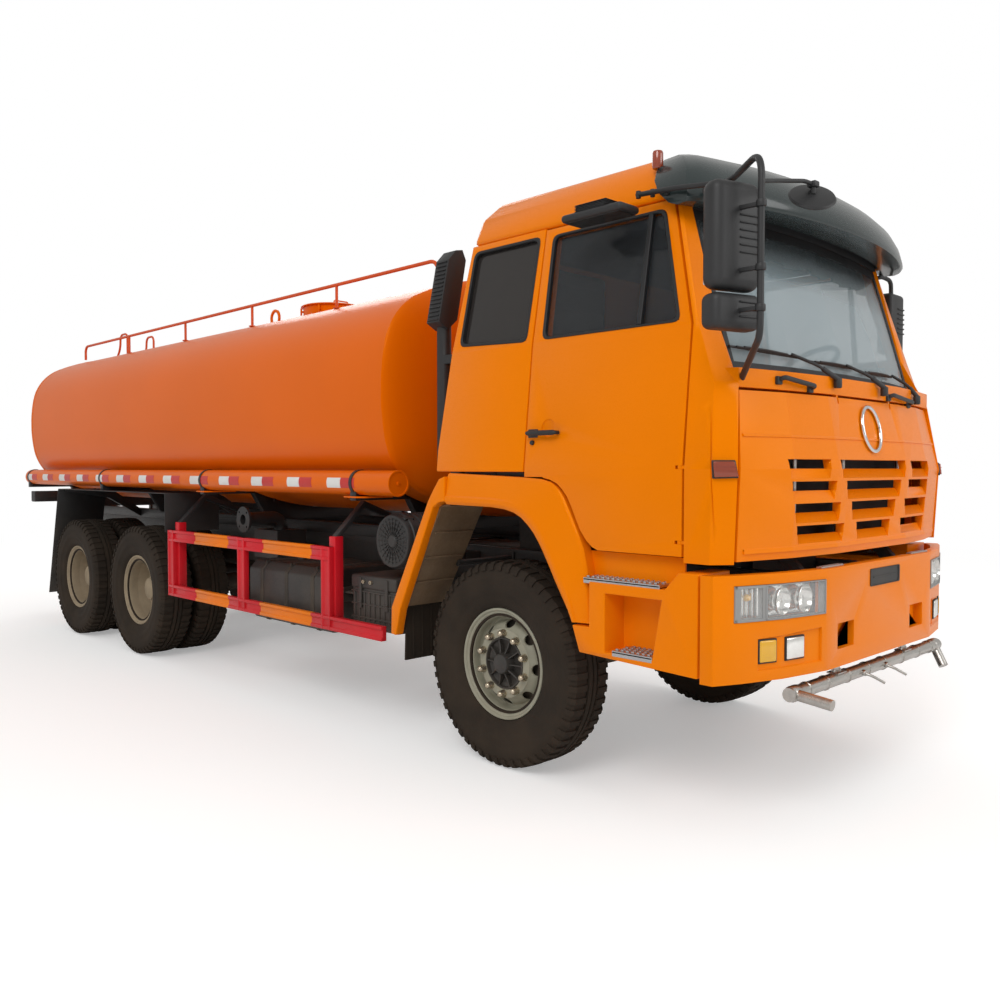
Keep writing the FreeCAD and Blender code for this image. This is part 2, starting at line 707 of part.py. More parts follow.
def tank_support():
    """Sills on the rails, saddles under the tank, and cradles for the hose tubes."""
    length = (-7600, -1000)
    sill = box(length, (d.frame_half_width - 70, d.frame_half_width), (d.frame_top, sill_top))
    saddles = []
    clearance = tank_prism(d.running_gap.value, d.tank_front - d.tank_length - 5, d.tank_front + 5)
    tubes = [rod("x", d.hose_tube_radius + d.running_gap, d.hose_tube_rear - 10,
                 d.hose_tube_front + 10, 0, s * d.hose_tube_y, d.hose_tube_z) for s in (1, -1)]
    seat = d.hose_tube_z - d.hose_tube_radius * 0.55
    outer = d.hose_tube_y + d.hose_tube_radius * 0.75
    for x in (-1185, -3196, -5200, -7200):
        inner = d.fender_inner - 10
        shelf = d.fender_top + 1
        outline = [
            (-620, sill_top), (620, sill_top), (inner, shelf), (outer, shelf), (outer, seat),
            (-outer, seat), (-outer, shelf), (-inner, shelf),
        ]
        plate = prism("YZ", outline, x - d.cradle_width / 2, x + d.cradle_width / 2)
        saddles.append(plate)
    node("tank_saddles", cut(join(sill, mirrored(sill), *saddles), clearance, *tubes))
    tube = rod("x", d.hose_tube_radius, d.hose_tube_rear, d.hose_tube_front, 0, d.hose_tube_y,
               d.hose_tube_z)
    node("hose_tubes", *both(tube))


# ---------------------------------------------------------------- chassis side equipment
def side_guard():
    """Two rails, three posts, and two inner posts with their braces, on the left side."""
    outer = d.overall_half_width - 5
    inner = outer - d.guard_depth
    rear = d.guard_rear
    front = size(-1372)
    wide = d.guard_post_width
    pieces = [
        box((rear, front), (inner, outer), (d.guard_top - d.guard_rail_height, d.guard_top)),
        box((rear, d.guard_front), (inner, outer), (d.guard_bottom, d.guard_bottom + d.guard_rail_height)),
    ]
    for x in (rear, size(-2560), front - wide):
        pieces.append(box((x, x + wide), (inner, outer), (d.guard_bottom, d.guard_top)))
    for x in (-3605, -1395):
        pieces.append(box((x - 35, x + 35), (inner - 60, inner + 1), (d.guard_bottom, d.guard_top + 65)))
        pieces.append(prism("YZ", [
            (d.frame_half_width + d.running_gap, 1150), (960, 1345), (inner - 5, d.guard_top + 20),
            (inner - 5, d.guard_top + 60), (960, 1390), (d.frame_half_width + d.running_gap, 1178)],
            size(x) - 25, size(x) + 25))
    return join(*pieces)


def side_equipment():
    node("side_guards", *both(side_guard()))

    wide = d.overall_half_width
    top = d.fender_top
    thin = d.fender_thickness
    front = tandem_centre + 1336
    rear = tandem_centre - 1095
    flap_foot = tandem_centre - 1405
    fender = prism("XZ", [
        (front, 1080), (front, top), (rear, top), (flap_foot, 320), (flap_foot + thin, 320),
        (rear + 4, top - thin), (front - thin, top - thin), (front - thin, 1080),
    ], d.fender_inner, wide)
    root = d.frame_half_width + d.running_gap
    arms = [prism("YZ", [(root, 1100), (765, 1300), (1180, 1380), (1180, top - thin), (765, top - thin),
                         (700, 1365), (root, sill_top - 5)], x - 25, x + 25)
            for x in (front - 61, rear + 50)]
    node("rear_fenders", *both(join(fender, *arms)))

    fuel = prism("YZ", [(560, 500), (1080, 500), (1130, 560), (1130, 870), (1070, 930), (560, 930)],
                 size(-2580), size(-1560))
    straps = [box((x - 25, x + 25), (d.frame_half_width + d.running_gap, 561), (820, 900)) for x in (-2400, -1740)]
    node("fuel_tanks", *both(join(fuel, *straps)))

    battery = box((-1290, -830), (640, 1130), (600, 930))
    shelf = box((-1290, -830), (d.frame_half_width + d.running_gap, 640), (800, 860))
    node("battery_box", mirrored(join(battery, shelf)))
    drum = rod("y", 176, 620, 1120, -880, 0, 1158)
    boss = box((-930, -830), (560, 621), (1010, 1100))
    saddle = box((-940, -820), (d.frame_half_width + d.running_gap, 561), (1000, 1060))
    node("air_filter", mirrored(join(drum, boss, saddle)))

    pump = box((-3050, -2700), (560, 820), (900, 1120))
    outlet = pipe([(-2850, 700, 1100), (-2850, 700, 1210), (-2850, 1010, 1210)], 55, 80)
    flange = rod("y", 100, 1010, 1030, -2850, 0, 1210)
    bolt_holes = [rod("y", 9, 1000, 1040, -2850 + 78 * math.cos(math.radians(a)), 0,
                      1210 + 78 * math.sin(math.radians(a))) for a in (45, 135, 225, 315)]
    bore = rod("y", 40, 960, 1040, -2850, 0, 1210)
    foot = box((-3000, -2750), (d.frame_half_width + d.running_gap, 561), (930, 990))
    node("water_pump", mirrored(cut(join(pump, outlet, flange, foot), bore, *bolt_holes)))


def rear_end():
    beam = box((-7710, -7641), (-700, 700), (1150, 1270))
    bar = box((-7700, -7641), (-700, 700), (450, 560))
    housings = [box((-7700, -7600), (s * 840 - 165, s * 840 + 165), (1225, 1346)) for s in (1, -1)]
    hangers = [box((-7690, -7640.3), (s * 390 - 35, s * 390 + 35), (559, 1151)) for s in (1, -1)]
    eye_plate = box((-7740, -7700), (-90, 90), (850, 1010))
    neck = box((-7700, -7640.3), (-90, 90), (880, 980))
    jaw_hole = rod("y", 20, -100, 100, -7721, 0, 930)
    lens_front = -7700 - d.lamp_gap
    lamps = [box((-7738, lens_front), (s * 850 - 150, s * 850 + 150), (1232, 1340)) for s in (1, -1)]
    node("tail_lamps", *lamps)
    jaw = cut(join(eye_plate, neck), jaw_hole)
    node("rear_beam", join(beam, bar, *hangers, *housings), jaw)


# ---------------------------------------------------------------- front end
def bumper_plan(inset):
    """Left half of the bumper's outer line in plan, moved inward by inset."""
    front = d.bumper_front - inset
    side = d.overall_half_width - inset
    return [(front, 600), (front - 60, 900), (front - 138, side - 125 + inset * 0.5),
            (front - 195, side), (d.bumper_rear, side)]


def front_bumper():
    left = bumper_plan(size(0))
    inner = bumper_plan(d.bumper_wall)
    outline = [(u, -size(v)) for u, v in reversed(left)] + left
    outline += list(reversed(inner)) + [(u, -size(v)) for u, v in inner]
    band = prism("XY", outline, d.bumper_bottom, d.bumper_top)
    openings = []
    for s in (1, -1):
        low, high = sorted((s * 617.0, s * 1150.0))
        openings.append(box((1300, 1700), (low, high), (944, 1102)))
        low, high = sorted((s * 750.0, s * 1028.0))
        openings.append(box((1300, 1700), (low, high), (752, 868)))
        low, high = sorted((s * 330.0, s * 500.0))
        openings.append(box((1630, 1700), (low, high), (765, 885)))
    plate_recess = box((d.bumper_front - 15, d.bumper_front + 1), (-158, 188), (1028, 1112))
    node("front_bumper", cut(band, *openings, plate_recess))

    lamps = []
    for low, high, bottom, top in ((617, 1150, 944, 1102), (750, 1028, 752, 868)):
        gap = d.lamp_gap
        block = box((1300, 1700), (size(low) + gap, size(high) - gap),
                    (size(bottom) + gap, size(top) - gap))
        lamp = common(block, prism("XY", outline, bottom + gap, top - gap))
        lamps += both(lamp)
    node("front_lamps", *lamps)


def step_panels():
    outer = d.overall_half_width - 3
    side = prism("XZ", [
        (725, 725), (1388, 700), (1388, 1150), (1290, 1150), (1215, 1068), (785, 1068), (785, 850),
        (680, 850)], size(985), outer)
    recess = prism("XZ", [(880, 745), (1150, 745), (1200, 1020), (880, 1020)], outer - 150, outer + 5)
    hollow = prism("XZ", [
        (800, 740), (1360, 720), (1360, 1040), (800, 1040)], size(980), outer - 180)
    mount = box((1060, 1140), (d.frame_half_width + d.running_gap, outer - 170), (800, 880))
    node("step_panels", *both(join(cut(side, recess, hollow), mount)))


def splash_guards():
    """Rear part of the front arch with its panel and rubber flap, on the chassis."""
    wide = d.overall_half_width - 3
    lip = prism("XZ", [
        (-260, 1500), (-330, 1500), (-385, 1435), (-725, 790), (-640, 790), (-350, 1390),
        (-260, 1400)], wide - 60, wide)
    panel = prism("XZ", [(-260, 1420), (-350, 1410), (-700, 790), (-690, 780), (-340, 1400),
                         (-260, 1408)], size(860), wide - 50)
    flap = box((-706, -694), (870, 1160), (458, 800))
    stay = box((-560, -500), (d.frame_half_width + d.running_gap, 900), (1010, 1060))
    node("splash_guards", *both(join(lip, panel, flap, stay)))


def sprinkler():
    x = d.sprinkler_x
    z = d.sprinkler_z
    end = size(852)
    tip = d.sprinkler_tip
    bar = rod("y", d.sprinkler_radius, -end, end, x, 0, z)
    nozzles = [pipe([(x, 815, z), (tip - 12, 780, z - 105)], 25, 0),
               pipe([(x, -815, z), (d.sprinkler_reach, -815, z - 20)], 25, 0)]
    horn_bottom = frame_bottom + 5
    drops = [box((x - 14, x + 2), (s * 390 - 30, s * 390 + 30), (z + 20, horn_bottom - d.running_gap))
             for s in (1, -1)]
    node("sprinkler_bar", join(bar, *nozzles, *drops))


# ---------------------------------------------------------------- cab
# height, half width of the cab's side at that height
def side_points():
    return [(d.cab_bottom, d.cab_half_width), (size(1600), d.cab_half_width),
            (size(1970), d.cab_half_width - 35), (d.belt_height, d.cab_half_width - 65),
            (d.gutter_height, d.cab_half_width - 172)]


def side_band(start, end, low_inset, depth):
    """Part of the leaning side wall, between two insets from the skin."""
    outer = [(w - low_inset, z) for z, w in side_points()]
    inner = [(w - low_inset - depth, z) for z, w in reversed(side_points())]
    return prism("YZ", outer + inner, start, end)


def rear_face(level):
    """Where the cab's leaning rear face stands at a height."""
    foot = 1700.0
    share = max(0.0, (level - foot) / (d.gutter_height.value - foot))
    return d.cab_rear + d.cab_rear_rake * share


def rear_edge(depth=0):
    """The rear face from the floor up to the gutter, moved forward by depth."""
    rows = [(d.cab_rear + depth, size(1585)), (d.cab_rear + depth, size(1700))]
    return rows + [(d.cab_rear + d.cab_rear_rake + depth, d.gutter_height)]


def side_panel():
    band = side_band(d.cab_rear, d.door_rear - d.panel_gap, 0, d.cab_wall)
    front = d.door_rear - d.panel_gap
    outline = prism("XZ", [(front, d.gutter_height), (front, 1585)] + rear_edge(), size(900), size(1300))
    window = prism("XZ", [(-232, 2285), (266, 2265), (277, 2800), (-206, 2800)], size(900), size(1300))
    pane = common(side_band(d.cab_rear, d.door_rear, 20, d.glass_thickness),
                  prism("XZ", [(-231, 2286), (265, 2266), (276, 2799), (-205, 2799)],
                        size(900), size(1300)))
    return cut(common(band, outline), window), pane


def door_skin():
    """The door's wall grown by a small amount, for parts that seat on it."""
    return side_band(d.door_rear, d.door_front, -d.running_gap, 300)


def door():
    gap = d.panel_gap
    front = d.door_front
    rear = d.door_rear
    band = side_band(rear, front, 0, d.cab_wall)
    outline = prism("XZ", [
        (rear, 1560), (450, 1560), (760, 1215), (front, 1215), (front, 2236), (1112, d.gutter_height - gap),
        (rear, d.gutter_height - gap)], size(900), size(1300))
    cut_line = [(395, 2262), (1212, 2262), (1066, 2790), (385, 2790)]
    pane_line = [(396, 2263), (1211, 2263), (1065, 2789), (386, 2789)]
    window = prism("XZ", cut_line, size(900), size(1300))
    pane = common(side_band(rear, front, 20, d.glass_thickness),
                  prism("XZ", pane_line, size(900), size(1300)))
    x = d.door_hinge_x
    y = d.door_hinge_y
    slots = [box((x - 20, front + 1), (size(1100), size(1300)), (level, level + d.door_hinge_slot))
             for level in door_hinge_levels]
    pins = [rod("z", d.door_pin_radius, level - 10, level + d.door_hinge_slot + 10, x, y)
            for level in door_hinge_levels]
    return join(cut(common(band, outline), window, *slots), *pins), pane


def shifted(sections, forward, left=0):
    """The same sections, moved forward and to the left."""
    return [(level, [(u + forward, v + left) for u, v in outline]) for level, outline in sections]


def front_post():
    """Corner panel and windscreen pillar on the left side, as sections of a ruled loft."""
    edge = d.door_front + d.panel_gap + 2
    return [
        (d.cab_bottom, [(edge, 1205), (1420, 1205), (1488, 1120), (1447, 1108), (1385, 1150), (edge, 1145)]),
        (1600, [(edge, 1205), (1430, 1205), (1508, 1128), (1462, 1118), (1385, 1150), (edge, 1145)]),
        (1970, [(edge, 1170), (1400, 1150), (1461, 1050), (1415, 1042), (1350, 1090), (edge, 1110)]),
        (d.belt_height, [(edge, 1140), (1310, 1130), (1328, 995), (1262, 985), (1262, 1066), (edge, 1074)]),
        (d.gutter_height, [(1124, 1033), (1142, 1025), (1162, 985), (1125, 950), (1050 + d.cab_wall, 948),
                           (1122, 966)]),
    ]


COWL = [(1340, 1080), (1400, 1080), (1461, 1050), (1515, 740), (1550, 400), (1550, -400),
        (1515, -740), (1461, -1050), (1400, -1080), (1340, -1080)]


def cowl(forward):
    outline = [(u + forward, v) for u, v in COWL]
    return prism("XY", outline, d.flap_top + 12, size(2040))


def door_hinges():
    """Tongues on the left corner post, each with an eye round a door pin."""
    half = d.door_hinge_eye
    tongues = []
    for level in door_hinge_levels:
        low = level + d.running_gap
        high = level + d.door_hinge_slot - d.running_gap
        plate = box((d.door_hinge_x, d.door_front + 20), (d.door_hinge_y - 10, d.door_hinge_y + 10), (low, high))
        eye = rod("z", half, low, high, d.door_hinge_x, d.door_hinge_y)
        hole = rod("z", d.door_pin_radius + d.running_gap, low - 1, high + 1, d.door_hinge_x, d.door_hinge_y)
        tongues.append(cut(join(plate, eye), hole))
    return tongues


def flap_ear(side):
    """Ear under the cowl, round a pin of the front flap."""
    low, high = sorted((side * 292.3, side * 307.7))
    x = d.flap_hinge_x
    web = box((x - 12, x + 12), (low, high), (d.flap_hinge_z, d.flap_top + 20))
    eye = rod("y", 10, low, high, x, 0, d.flap_hinge_z)
    hole = rod("y", d.flap_pin_radius + d.running_gap, low - 1, high + 1, x, 0, d.flap_hinge_z)
    return cut(join(web, eye), hole)


def cab_shell():
    panel, pane = side_panel()
    node("cab_sides", *both(panel))
    gap = d.running_gap
    wall = d.cab_wall
    half = d.cab_half_width
    inner_side = [(w - wall - gap, z) for z, w in side_points() if z.value > 1590]
    outline = [(-(half - wall - gap), size(1585)), (half - wall - gap, size(1585))] + inner_side
    outline += [(-u, v) for u, v in reversed(inner_side)]
    across = prism("YZ", outline, d.cab_rear, size(0))
    leaning = prism("XZ", rear_edge() + list(reversed(rear_edge(50))), size(-1300), size(1300))
    node("cab_rear_wall", common(across, leaning))

    panel_y = half - wall - gap
    floor_y = half - wall - 7
    floor_low = d.cab_floor - 40
    between_panels = box((d.cab_rear + 50 + gap, d.door_rear - d.panel_gap), (-panel_y, panel_y),
                         (floor_low, d.cab_floor))
    rear_floor = box((d.cab_rear + 50 + gap, 790), (-floor_y, floor_y), (floor_low, d.cab_floor))
    tunnel = box((789, 1330), (-480, 480), (d.cab_floor - 40, d.cab_floor))
    front_parts = []
    for s in (1, -1):
        low, high = sorted((s * 460.0, s * floor_y.value))
        front_parts.append(box((760, 1330), (low, high), (1215, 1255)))
        front_parts.append(box((760, 790), (low, high), (1215, d.cab_floor)))
        low, high = sorted((s * 460.0, s * 500.0))
        front_parts.append(box((760, 1330), (low, high), (1215, d.cab_floor)))
        low, high = sorted((s * 500.0, s * 540.0))
        front_parts.append(prism("XZ", [
            (1290, 1190), (1350, 1190), (d.cab_hinge_x - 32, d.cab_hinge_z - 5),
            (d.cab_hinge_x, d.cab_hinge_z - 32), (d.cab_hinge_x + 30, d.cab_hinge_z),
            (d.cab_hinge_x + 22, d.cab_hinge_z + 30), (1400, 1230), (1290, 1230)], low, high))
    pins = []
    for s in (1, -1):
        low, high = sorted((s * 460.0, s * 510.0))
        pins.append(rod("y", d.cab_pin_radius, low, high, d.cab_hinge_x, 0, d.cab_hinge_z))
    node("cab_floor", join(between_panels, rear_floor, tunnel, *front_parts, *pins))

    post = loft("XY", front_post())
    fire_wall = box((1330.3, 1371), (-1074, 1074), (1258, 2000))
    fire_low = box((1320, 1380), (-459, 459), (1190, 1555))
    back_corner = 1015 - d.cab_wall
    front_corner = 1045 - d.cab_wall
    header = prism("XY", [
        (1090, back_corner), (1158, front_corner), (1210, 500), (1240, 0), (1210, -500), (1158, -front_corner),
        (1090, -back_corner), (1130, 0)], size(2802), d.gutter_height)
    ears = [flap_ear(side) for side in (1, -1)]
    left = join(post, *door_hinges())
    node("cab_front_frame", join(left, mirrored(left), cut(fire_wall, fire_low), cowl(0), header, *ears))

    low_glass = [(1378, 975), (1440, 500), (1462, 0), (1440, -500), (1378, -975)]
    high_glass = [(1152, 970), (1205, 500), (1232, 0), (1205, -500), (1152, -970)]
    thick = d.windscreen_thickness

    def glass(points):
        return points + [(u - thick.value, v) for u, v in reversed(points)]

    screen = loft("XY", [(2040.3, glass(low_glass)), (2801.7, glass(high_glass))])
    post = loft("XY", shifted(front_post(), 0, -gap))
    node("windscreen", cut(screen, post, mirrored(post)))
    node("quarter_windows", *both(pane))

    node("cab_roof", cut(loft("XY", roof_outside()), loft("XY", roof_inside())))


# height above the gutter, rear x, rear half width, front x at the side, half width, front x between, centre
ROOF_OUTSIDE = [(0, -240, 1040, 1130, 560, 1215, 1235),
                (150, -222, 985, 1040, 500, 1130, 1150),
                (245, -160, 900, 900, 450, 1000, 1020),
                (315, -50, 600, 760, 300, 820, 830)]
ROOF_INSIDE = [(0, -190, 980, 1070, 520, 1155, 1175),
               (150, -172, 925, 980, 470, 1070, 1090),
               (205, -120, 850, 850, 420, 950, 970),
               (265, -50, 600, 760, 300, 820, 830)]


def roof_levels(table, crown):
    """Roof sections, the last of them at the crown."""
    low = d.gutter_height + d.running_gap
    levels = [low + row[0] for row in table[:-1]] + [crown]
    sections = []
    for level, (height, rear, half, side, inner_half, between, centre) in zip(levels, table):
        outline = [(rear, -half), (side, -half), (between, -inner_half), (centre, 0),
                   (between, inner_half), (side, half), (rear, half)]
        sections.append((level, outline))
    return sections


def roof_outside():
    return roof_levels(ROOF_OUTSIDE, d.roof_height)


def roof_inside():
    return roof_levels(ROOF_INSIDE, d.roof_height - 50)


def doors():
    leaf, pane = door()
    node("door_left", leaf)
    node("door_right", mirrored(leaf))
    node("door_glass_left", pane)
    node("door_glass_right", mirrored(pane))


def front_flap():
    wall = d.flap_wall.value
    lower = [(1600, 400), (1560, 760), (1485, 1095)]
    middle = [(1615, 400), (1580, 760), (1508, 1105)]
    upper = [(1550, 400), (1515, 740), (1452, 1030)]

    def full(points):
        right = [(u, -v) for u, v in points[::-1]]
        outer = right + points
        inner = [(u - wall, v) for u, v in points[::-1]] + [(u - wall, -v) for u, v in points]
        return outer + inner

    flap = loft("XY", [(d.flap_bottom, full(lower)), (1600, full(middle)), (d.flap_top, full(upper))])
    slots = []
    # row centre height, outer columns from-to, middle column half width
    for z, near, far, middle_half in ((1623, 467, 798, 376), (1522, 422, 773, 315),
                                      (1421, 377, 748, 253), (1320, 332, 723, 192)):
        slots.append(box((1400, 1700), (-middle_half, middle_half), (z - 21, z + 21)))
        slots.append(box((1400, 1700), (near, far), (z - 21, z + 21)))
        slots.append(box((1400, 1700), (-far, -near), (z - 21, z + 21)))
    x = d.flap_hinge_x
    z = d.flap_hinge_z
    pins = []
    for low, high in ((-308, -292), (292, 308)):
        slots.append(box((x - 60, x + 60), (low, high), (z - 15, d.flap_top + 1)))
        pins.append(rod("y", d.flap_pin_radius, low - 10, high + 10, x, 0, z))
    node("front_flap", join(cut(flap, *slots), *pins))


def flares():
    """Wheel-arch flare of the cab, on the left side."""
    wide = d.overall_half_width - 3
    flare = prism("XZ", [
        (-250, 1577), (440, 1550), (453, 1548), (752, 1203), (775, 858), (668, 858), (600, 985),
        (450, 1245), (340, 1345), (200, 1392), (-250, 1405)], size(1145.3), wide)
    inner = prism("XZ", [
        (-250, 1460), (300, 1440), (420, 1340), (560, 1130), (655, 900), (668, 858), (640, 858),
        (590, 985), (440, 1235), (330, 1335), (195, 1382), (-250, 1395)], size(860), size(1146))
    hanger = box((-240, 300), (1000, 1144), (1450, d.cab_floor - 40 - d.running_gap))
    node("wheel_flares", *both(join(flare, inner, hanger)))


# height, then front-corner and centre x of the outer line, the same of the inner line, and half widths
FAIRING = [(2785, 1255, 1420, 1500, 1240, 1285, 1330, 1121, 700),
           (2860, 1245, 1410, 1490, 1150, 1240, 1285, 1100, 690),
           (2990, 1200, 1330, 1390, 1090, 1120, 1145, 1020, 600),
           (3090, 1090, 1180, 1220, 980, 975, 985, 900, 500)]


def fairing(forward):
    """Solid of the visor over the windscreen, moved forward by a small amount."""
    sections = []
    for level, corner, between, centre, in_corner, in_between, in_centre, half, near in FAIRING:
        outer = [(corner, -half), (between, -near), (centre, 0), (between, near), (corner, half)]
        inner = [(in_corner, half), (in_between, near), (in_centre, 0), (in_between, -near),
                 (in_corner, -half)]
        sections.append((level, outer + inner))
    return cut(loft("XY", shifted(sections, forward)), loft("XY", shifted(roof_outside(), d.running_gap)))


INTAKE = [(1106, 2447), (1031, 2812), (973, 2874), (923, 2883), (896, 2827), (965, 2470), (1036, 2409)]


def intake():
    """Air intake behind the right rear corner of the cab."""
    column = prism("YZ", INTAKE, size(-560), size(-450))
    stalk = rod("z", 42, 1620, 2480, -505, 1020)
    brackets = []
    for low in (1630, 2210):
        high = low + 50
        brackets.append(prism("XZ", [
            (-500, low), (rear_face(low) - d.running_gap, low),
            (rear_face(high) - d.running_gap, high), (-500, high)], size(990), size(1050)))
    node("intake_column", mirrored(join(column, stalk, *brackets)))


def mirrors():
    """Twin-arm mirrors of the right side, and the folded mirror on the left door."""
    main = box((1500, 1600), (1165, 1385), (2325, 2765))
    wide = box((1500, 1600), (1165, 1385), (2165, 2315))
    tube = pipe([(1230, 1065, 2815), (1400, 1170, 2850), (1560, 1275, 2850), (1690, 1275, 2790),
                 (1690, 1275, 2130), (1440, 1000, 1985)], 14, 45)
    clips = [box((1590, 1700), (1262, 1288), (z - 12, z + 12)) for z in (2240, 2400, 2650)]
    shift = d.running_gap
    frame = cut(tube, fairing(shift), cowl(shift), loft("XY", shifted(front_post(), shift)))
    dish = rod("z", 95, 2755, 2780, d.dish_x, d.dish_y)
    stem = rod("z", 9, 2775, 2835, d.dish_x, d.dish_y)
    arm = pipe([(1600, 1275, 2846), (1700, 1180, 2846), (1720, 1000, 2835), (1720, 890, 2835)], 9, 20)
    node("mirror_right", mirrored(join(main, wide, frame, *clips, dish, stem, arm)))

    folded = box((1090, 1190), (1185, 1385), (2320, 2700))
    hanger = pipe([(1125, 1020, 2755), (1150, 1130, 2790), (1165, 1225, 2775), (1165, 1240, 2600)], 13, 30)
    node("mirror_left", cut(join(folded, hanger), door_skin()))


def dashboard(grown):
    """Dashboard block, with its near faces moved out by a small amount."""
    face = 1330
    return prism("XZ", [(1040 - grown, 1760 - grown), (face, 1700 - grown), (face, 2035 + grown),
                        (1180, 2030 + grown), (1060 - grown, 1960 + grown)], size(-1070), size(1070))


def interior():
    gap = d.running_gap
    cushion_top = size(2060)
    seats = []
    for s in (1, -1):
        low, high = sorted((s * 450.0, s * 960.0))
        seats.append(box((240, 640), (low, high), (1930, cushion_top)))
        seats.append(box((150, 290), (low, high), (cushion_top + gap, 2700)))
        low, high = sorted((s * 520.0, s * 890.0))
        seats.append(box((300, 620), (low, high), (d.cab_floor, 1930 - gap)))
    bunk = box((-280, 120), (-960, 960), (d.cab_floor, 1930))
    node("seats", *seats, bunk)
    node("dashboard", dashboard(0))
    tilt = FreeCAD.Rotation(Vector(0, 1, 0), -32)
    ring = doc.addObject("Part::Torus", "steering_ring")
    ring.Radius1 = 230
    ring.Radius2 = 15
    place(ring, 880, 640, 2190, tilt)
    hub = doc.addObject("Part::Cylinder", "steering_hub")
    hub.Radius = 60
    hub.Height = 30
    place(hub, 880, 640, 2165, tilt)
    spokes = [box((865, 895), (640 - 225, 640 + 225), (2176, 2196))]
    column = pipe([(884, 640, 2180), (1080, 640, 1873)], 24, 0)
    node("steering_wheel", cut(join(ring, hub, *spokes, column), dashboard(gap)))


def write_parts():
    doc.recompute()
    problems = []
    for item in doc.Objects:
        if "Invalid" in item.State or "Error" in item.State:
            problems.append(item.Name)
    for item in NODES:
        if item.Shape.isNull() or not item.Shape.isValid():
            problems.append(item.Label)
    if problems:
        raise RuntimeError("not built: " + ", ".join(problems))
    for item in NODES:
        item.Shape.exportStep("parts/%s.step" % item.Label)
    print(len(NODES), "sub-parts written")


wheels()
axles()
springs()
frame()
drive_line()
tank()
tank_support()
side_equipment()
rear_end()
front_bumper()
step_panels()
splash_guards()
sprinkler()
cab_shell()
doors()
front_flap()
flares()
intake()
node("roof_fairing", fairing(0))
mirrors()
interior()
write_parts()
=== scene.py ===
import json
import math

import bpy
from mathutils import Matrix, Vector


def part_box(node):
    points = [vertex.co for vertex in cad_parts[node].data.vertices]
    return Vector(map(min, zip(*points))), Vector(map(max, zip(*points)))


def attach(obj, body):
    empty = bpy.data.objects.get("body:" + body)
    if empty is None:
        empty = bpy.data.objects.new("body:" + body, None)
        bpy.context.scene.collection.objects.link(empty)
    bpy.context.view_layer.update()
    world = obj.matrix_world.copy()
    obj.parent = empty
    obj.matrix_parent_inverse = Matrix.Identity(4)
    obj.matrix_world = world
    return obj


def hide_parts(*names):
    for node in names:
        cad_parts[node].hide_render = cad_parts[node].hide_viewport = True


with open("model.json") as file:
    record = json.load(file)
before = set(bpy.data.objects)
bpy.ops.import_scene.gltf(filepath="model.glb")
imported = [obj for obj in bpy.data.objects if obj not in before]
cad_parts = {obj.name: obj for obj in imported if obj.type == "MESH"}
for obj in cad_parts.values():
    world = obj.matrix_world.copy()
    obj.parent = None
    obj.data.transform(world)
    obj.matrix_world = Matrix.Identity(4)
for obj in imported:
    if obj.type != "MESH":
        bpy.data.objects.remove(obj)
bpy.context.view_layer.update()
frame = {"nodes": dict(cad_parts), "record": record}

# ------------------------------------------------------------ places
tyre_low, tyre_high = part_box("front_tyre_right")
FRONT_WHEEL = (tyre_low[0] + tyre_high[0]) / 2
AXLE = FRONT_WHEEL - 0.04
WHEEL_HEIGHT = (tyre_low[2] + tyre_high[2]) / 2
LIFT = WHEEL_HEIGHT - 0.54
SIDES = (("left", 1), ("right", -1))


def at(x, y, z):
    """A place measured from the front spring on the centre line, the axles being at 0.54."""
    return Vector((x + AXLE, y, z + LIFT))


# ------------------------------------------------------------ camera
bpy.ops.object.camera_add(location=at(3.5812, -4.5863, 1.6017),
                          rotation=(math.radians(88.05), 0, math.radians(45.43)))
camera = bpy.context.object
camera.data.lens = 33.13
camera.data.sensor_width = 36
camera.data.clip_end = 300
bpy.context.scene.camera = camera

# ------------------------------------------------------------ materials
DUST = (0.3, 0.23, 0.16)


def nodes_of(name):
    material = bpy.data.materials.new(name)
    material.use_nodes = True
    return material, material.node_tree, material.node_tree.nodes["Principled BSDF"]


def add(tree, kind, values={}, links={}):
    """A shader node with its constants and the sources wired to it."""
    node = tree.nodes.new("ShaderNode" + kind)
    for socket, value in values.items():
        node.inputs[socket].default_value = value
    for socket, source in links.items():
        tree.links.new(source, node.inputs[socket])
    return node


def noise(tree, coordinates, scale, detail=4.0, rough=0.55):
    return add(tree, "TexNoise", {"Scale": scale, "Detail": detail, "Roughness": rough},
               {"Vector": coordinates}).outputs["Fac"]


def ranged(tree, value, low, high, to_low, to_high):
    return add(tree, "MapRange", {"From Min": low, "From Max": high, "To Min": to_low, "To Max": to_high},
               {"Value": value}).outputs["Result"]


def height_of(tree, place):
    return add(tree, "SeparateXYZ", links={0: place}).outputs["Z"]


def blended(tree, factor, one, other):
    node = tree.nodes.new("ShaderNodeMix")
    node.data_type = "RGBA"
    tree.links.new(factor, node.inputs["Factor"])
    for source, socket in ((one, node.inputs["A"]), (other, node.inputs["B"])):
        if isinstance(source, tuple):
            socket.default_value = (*source, 1)
        else:
            tree.links.new(source, socket)
    return node.outputs["Result"]


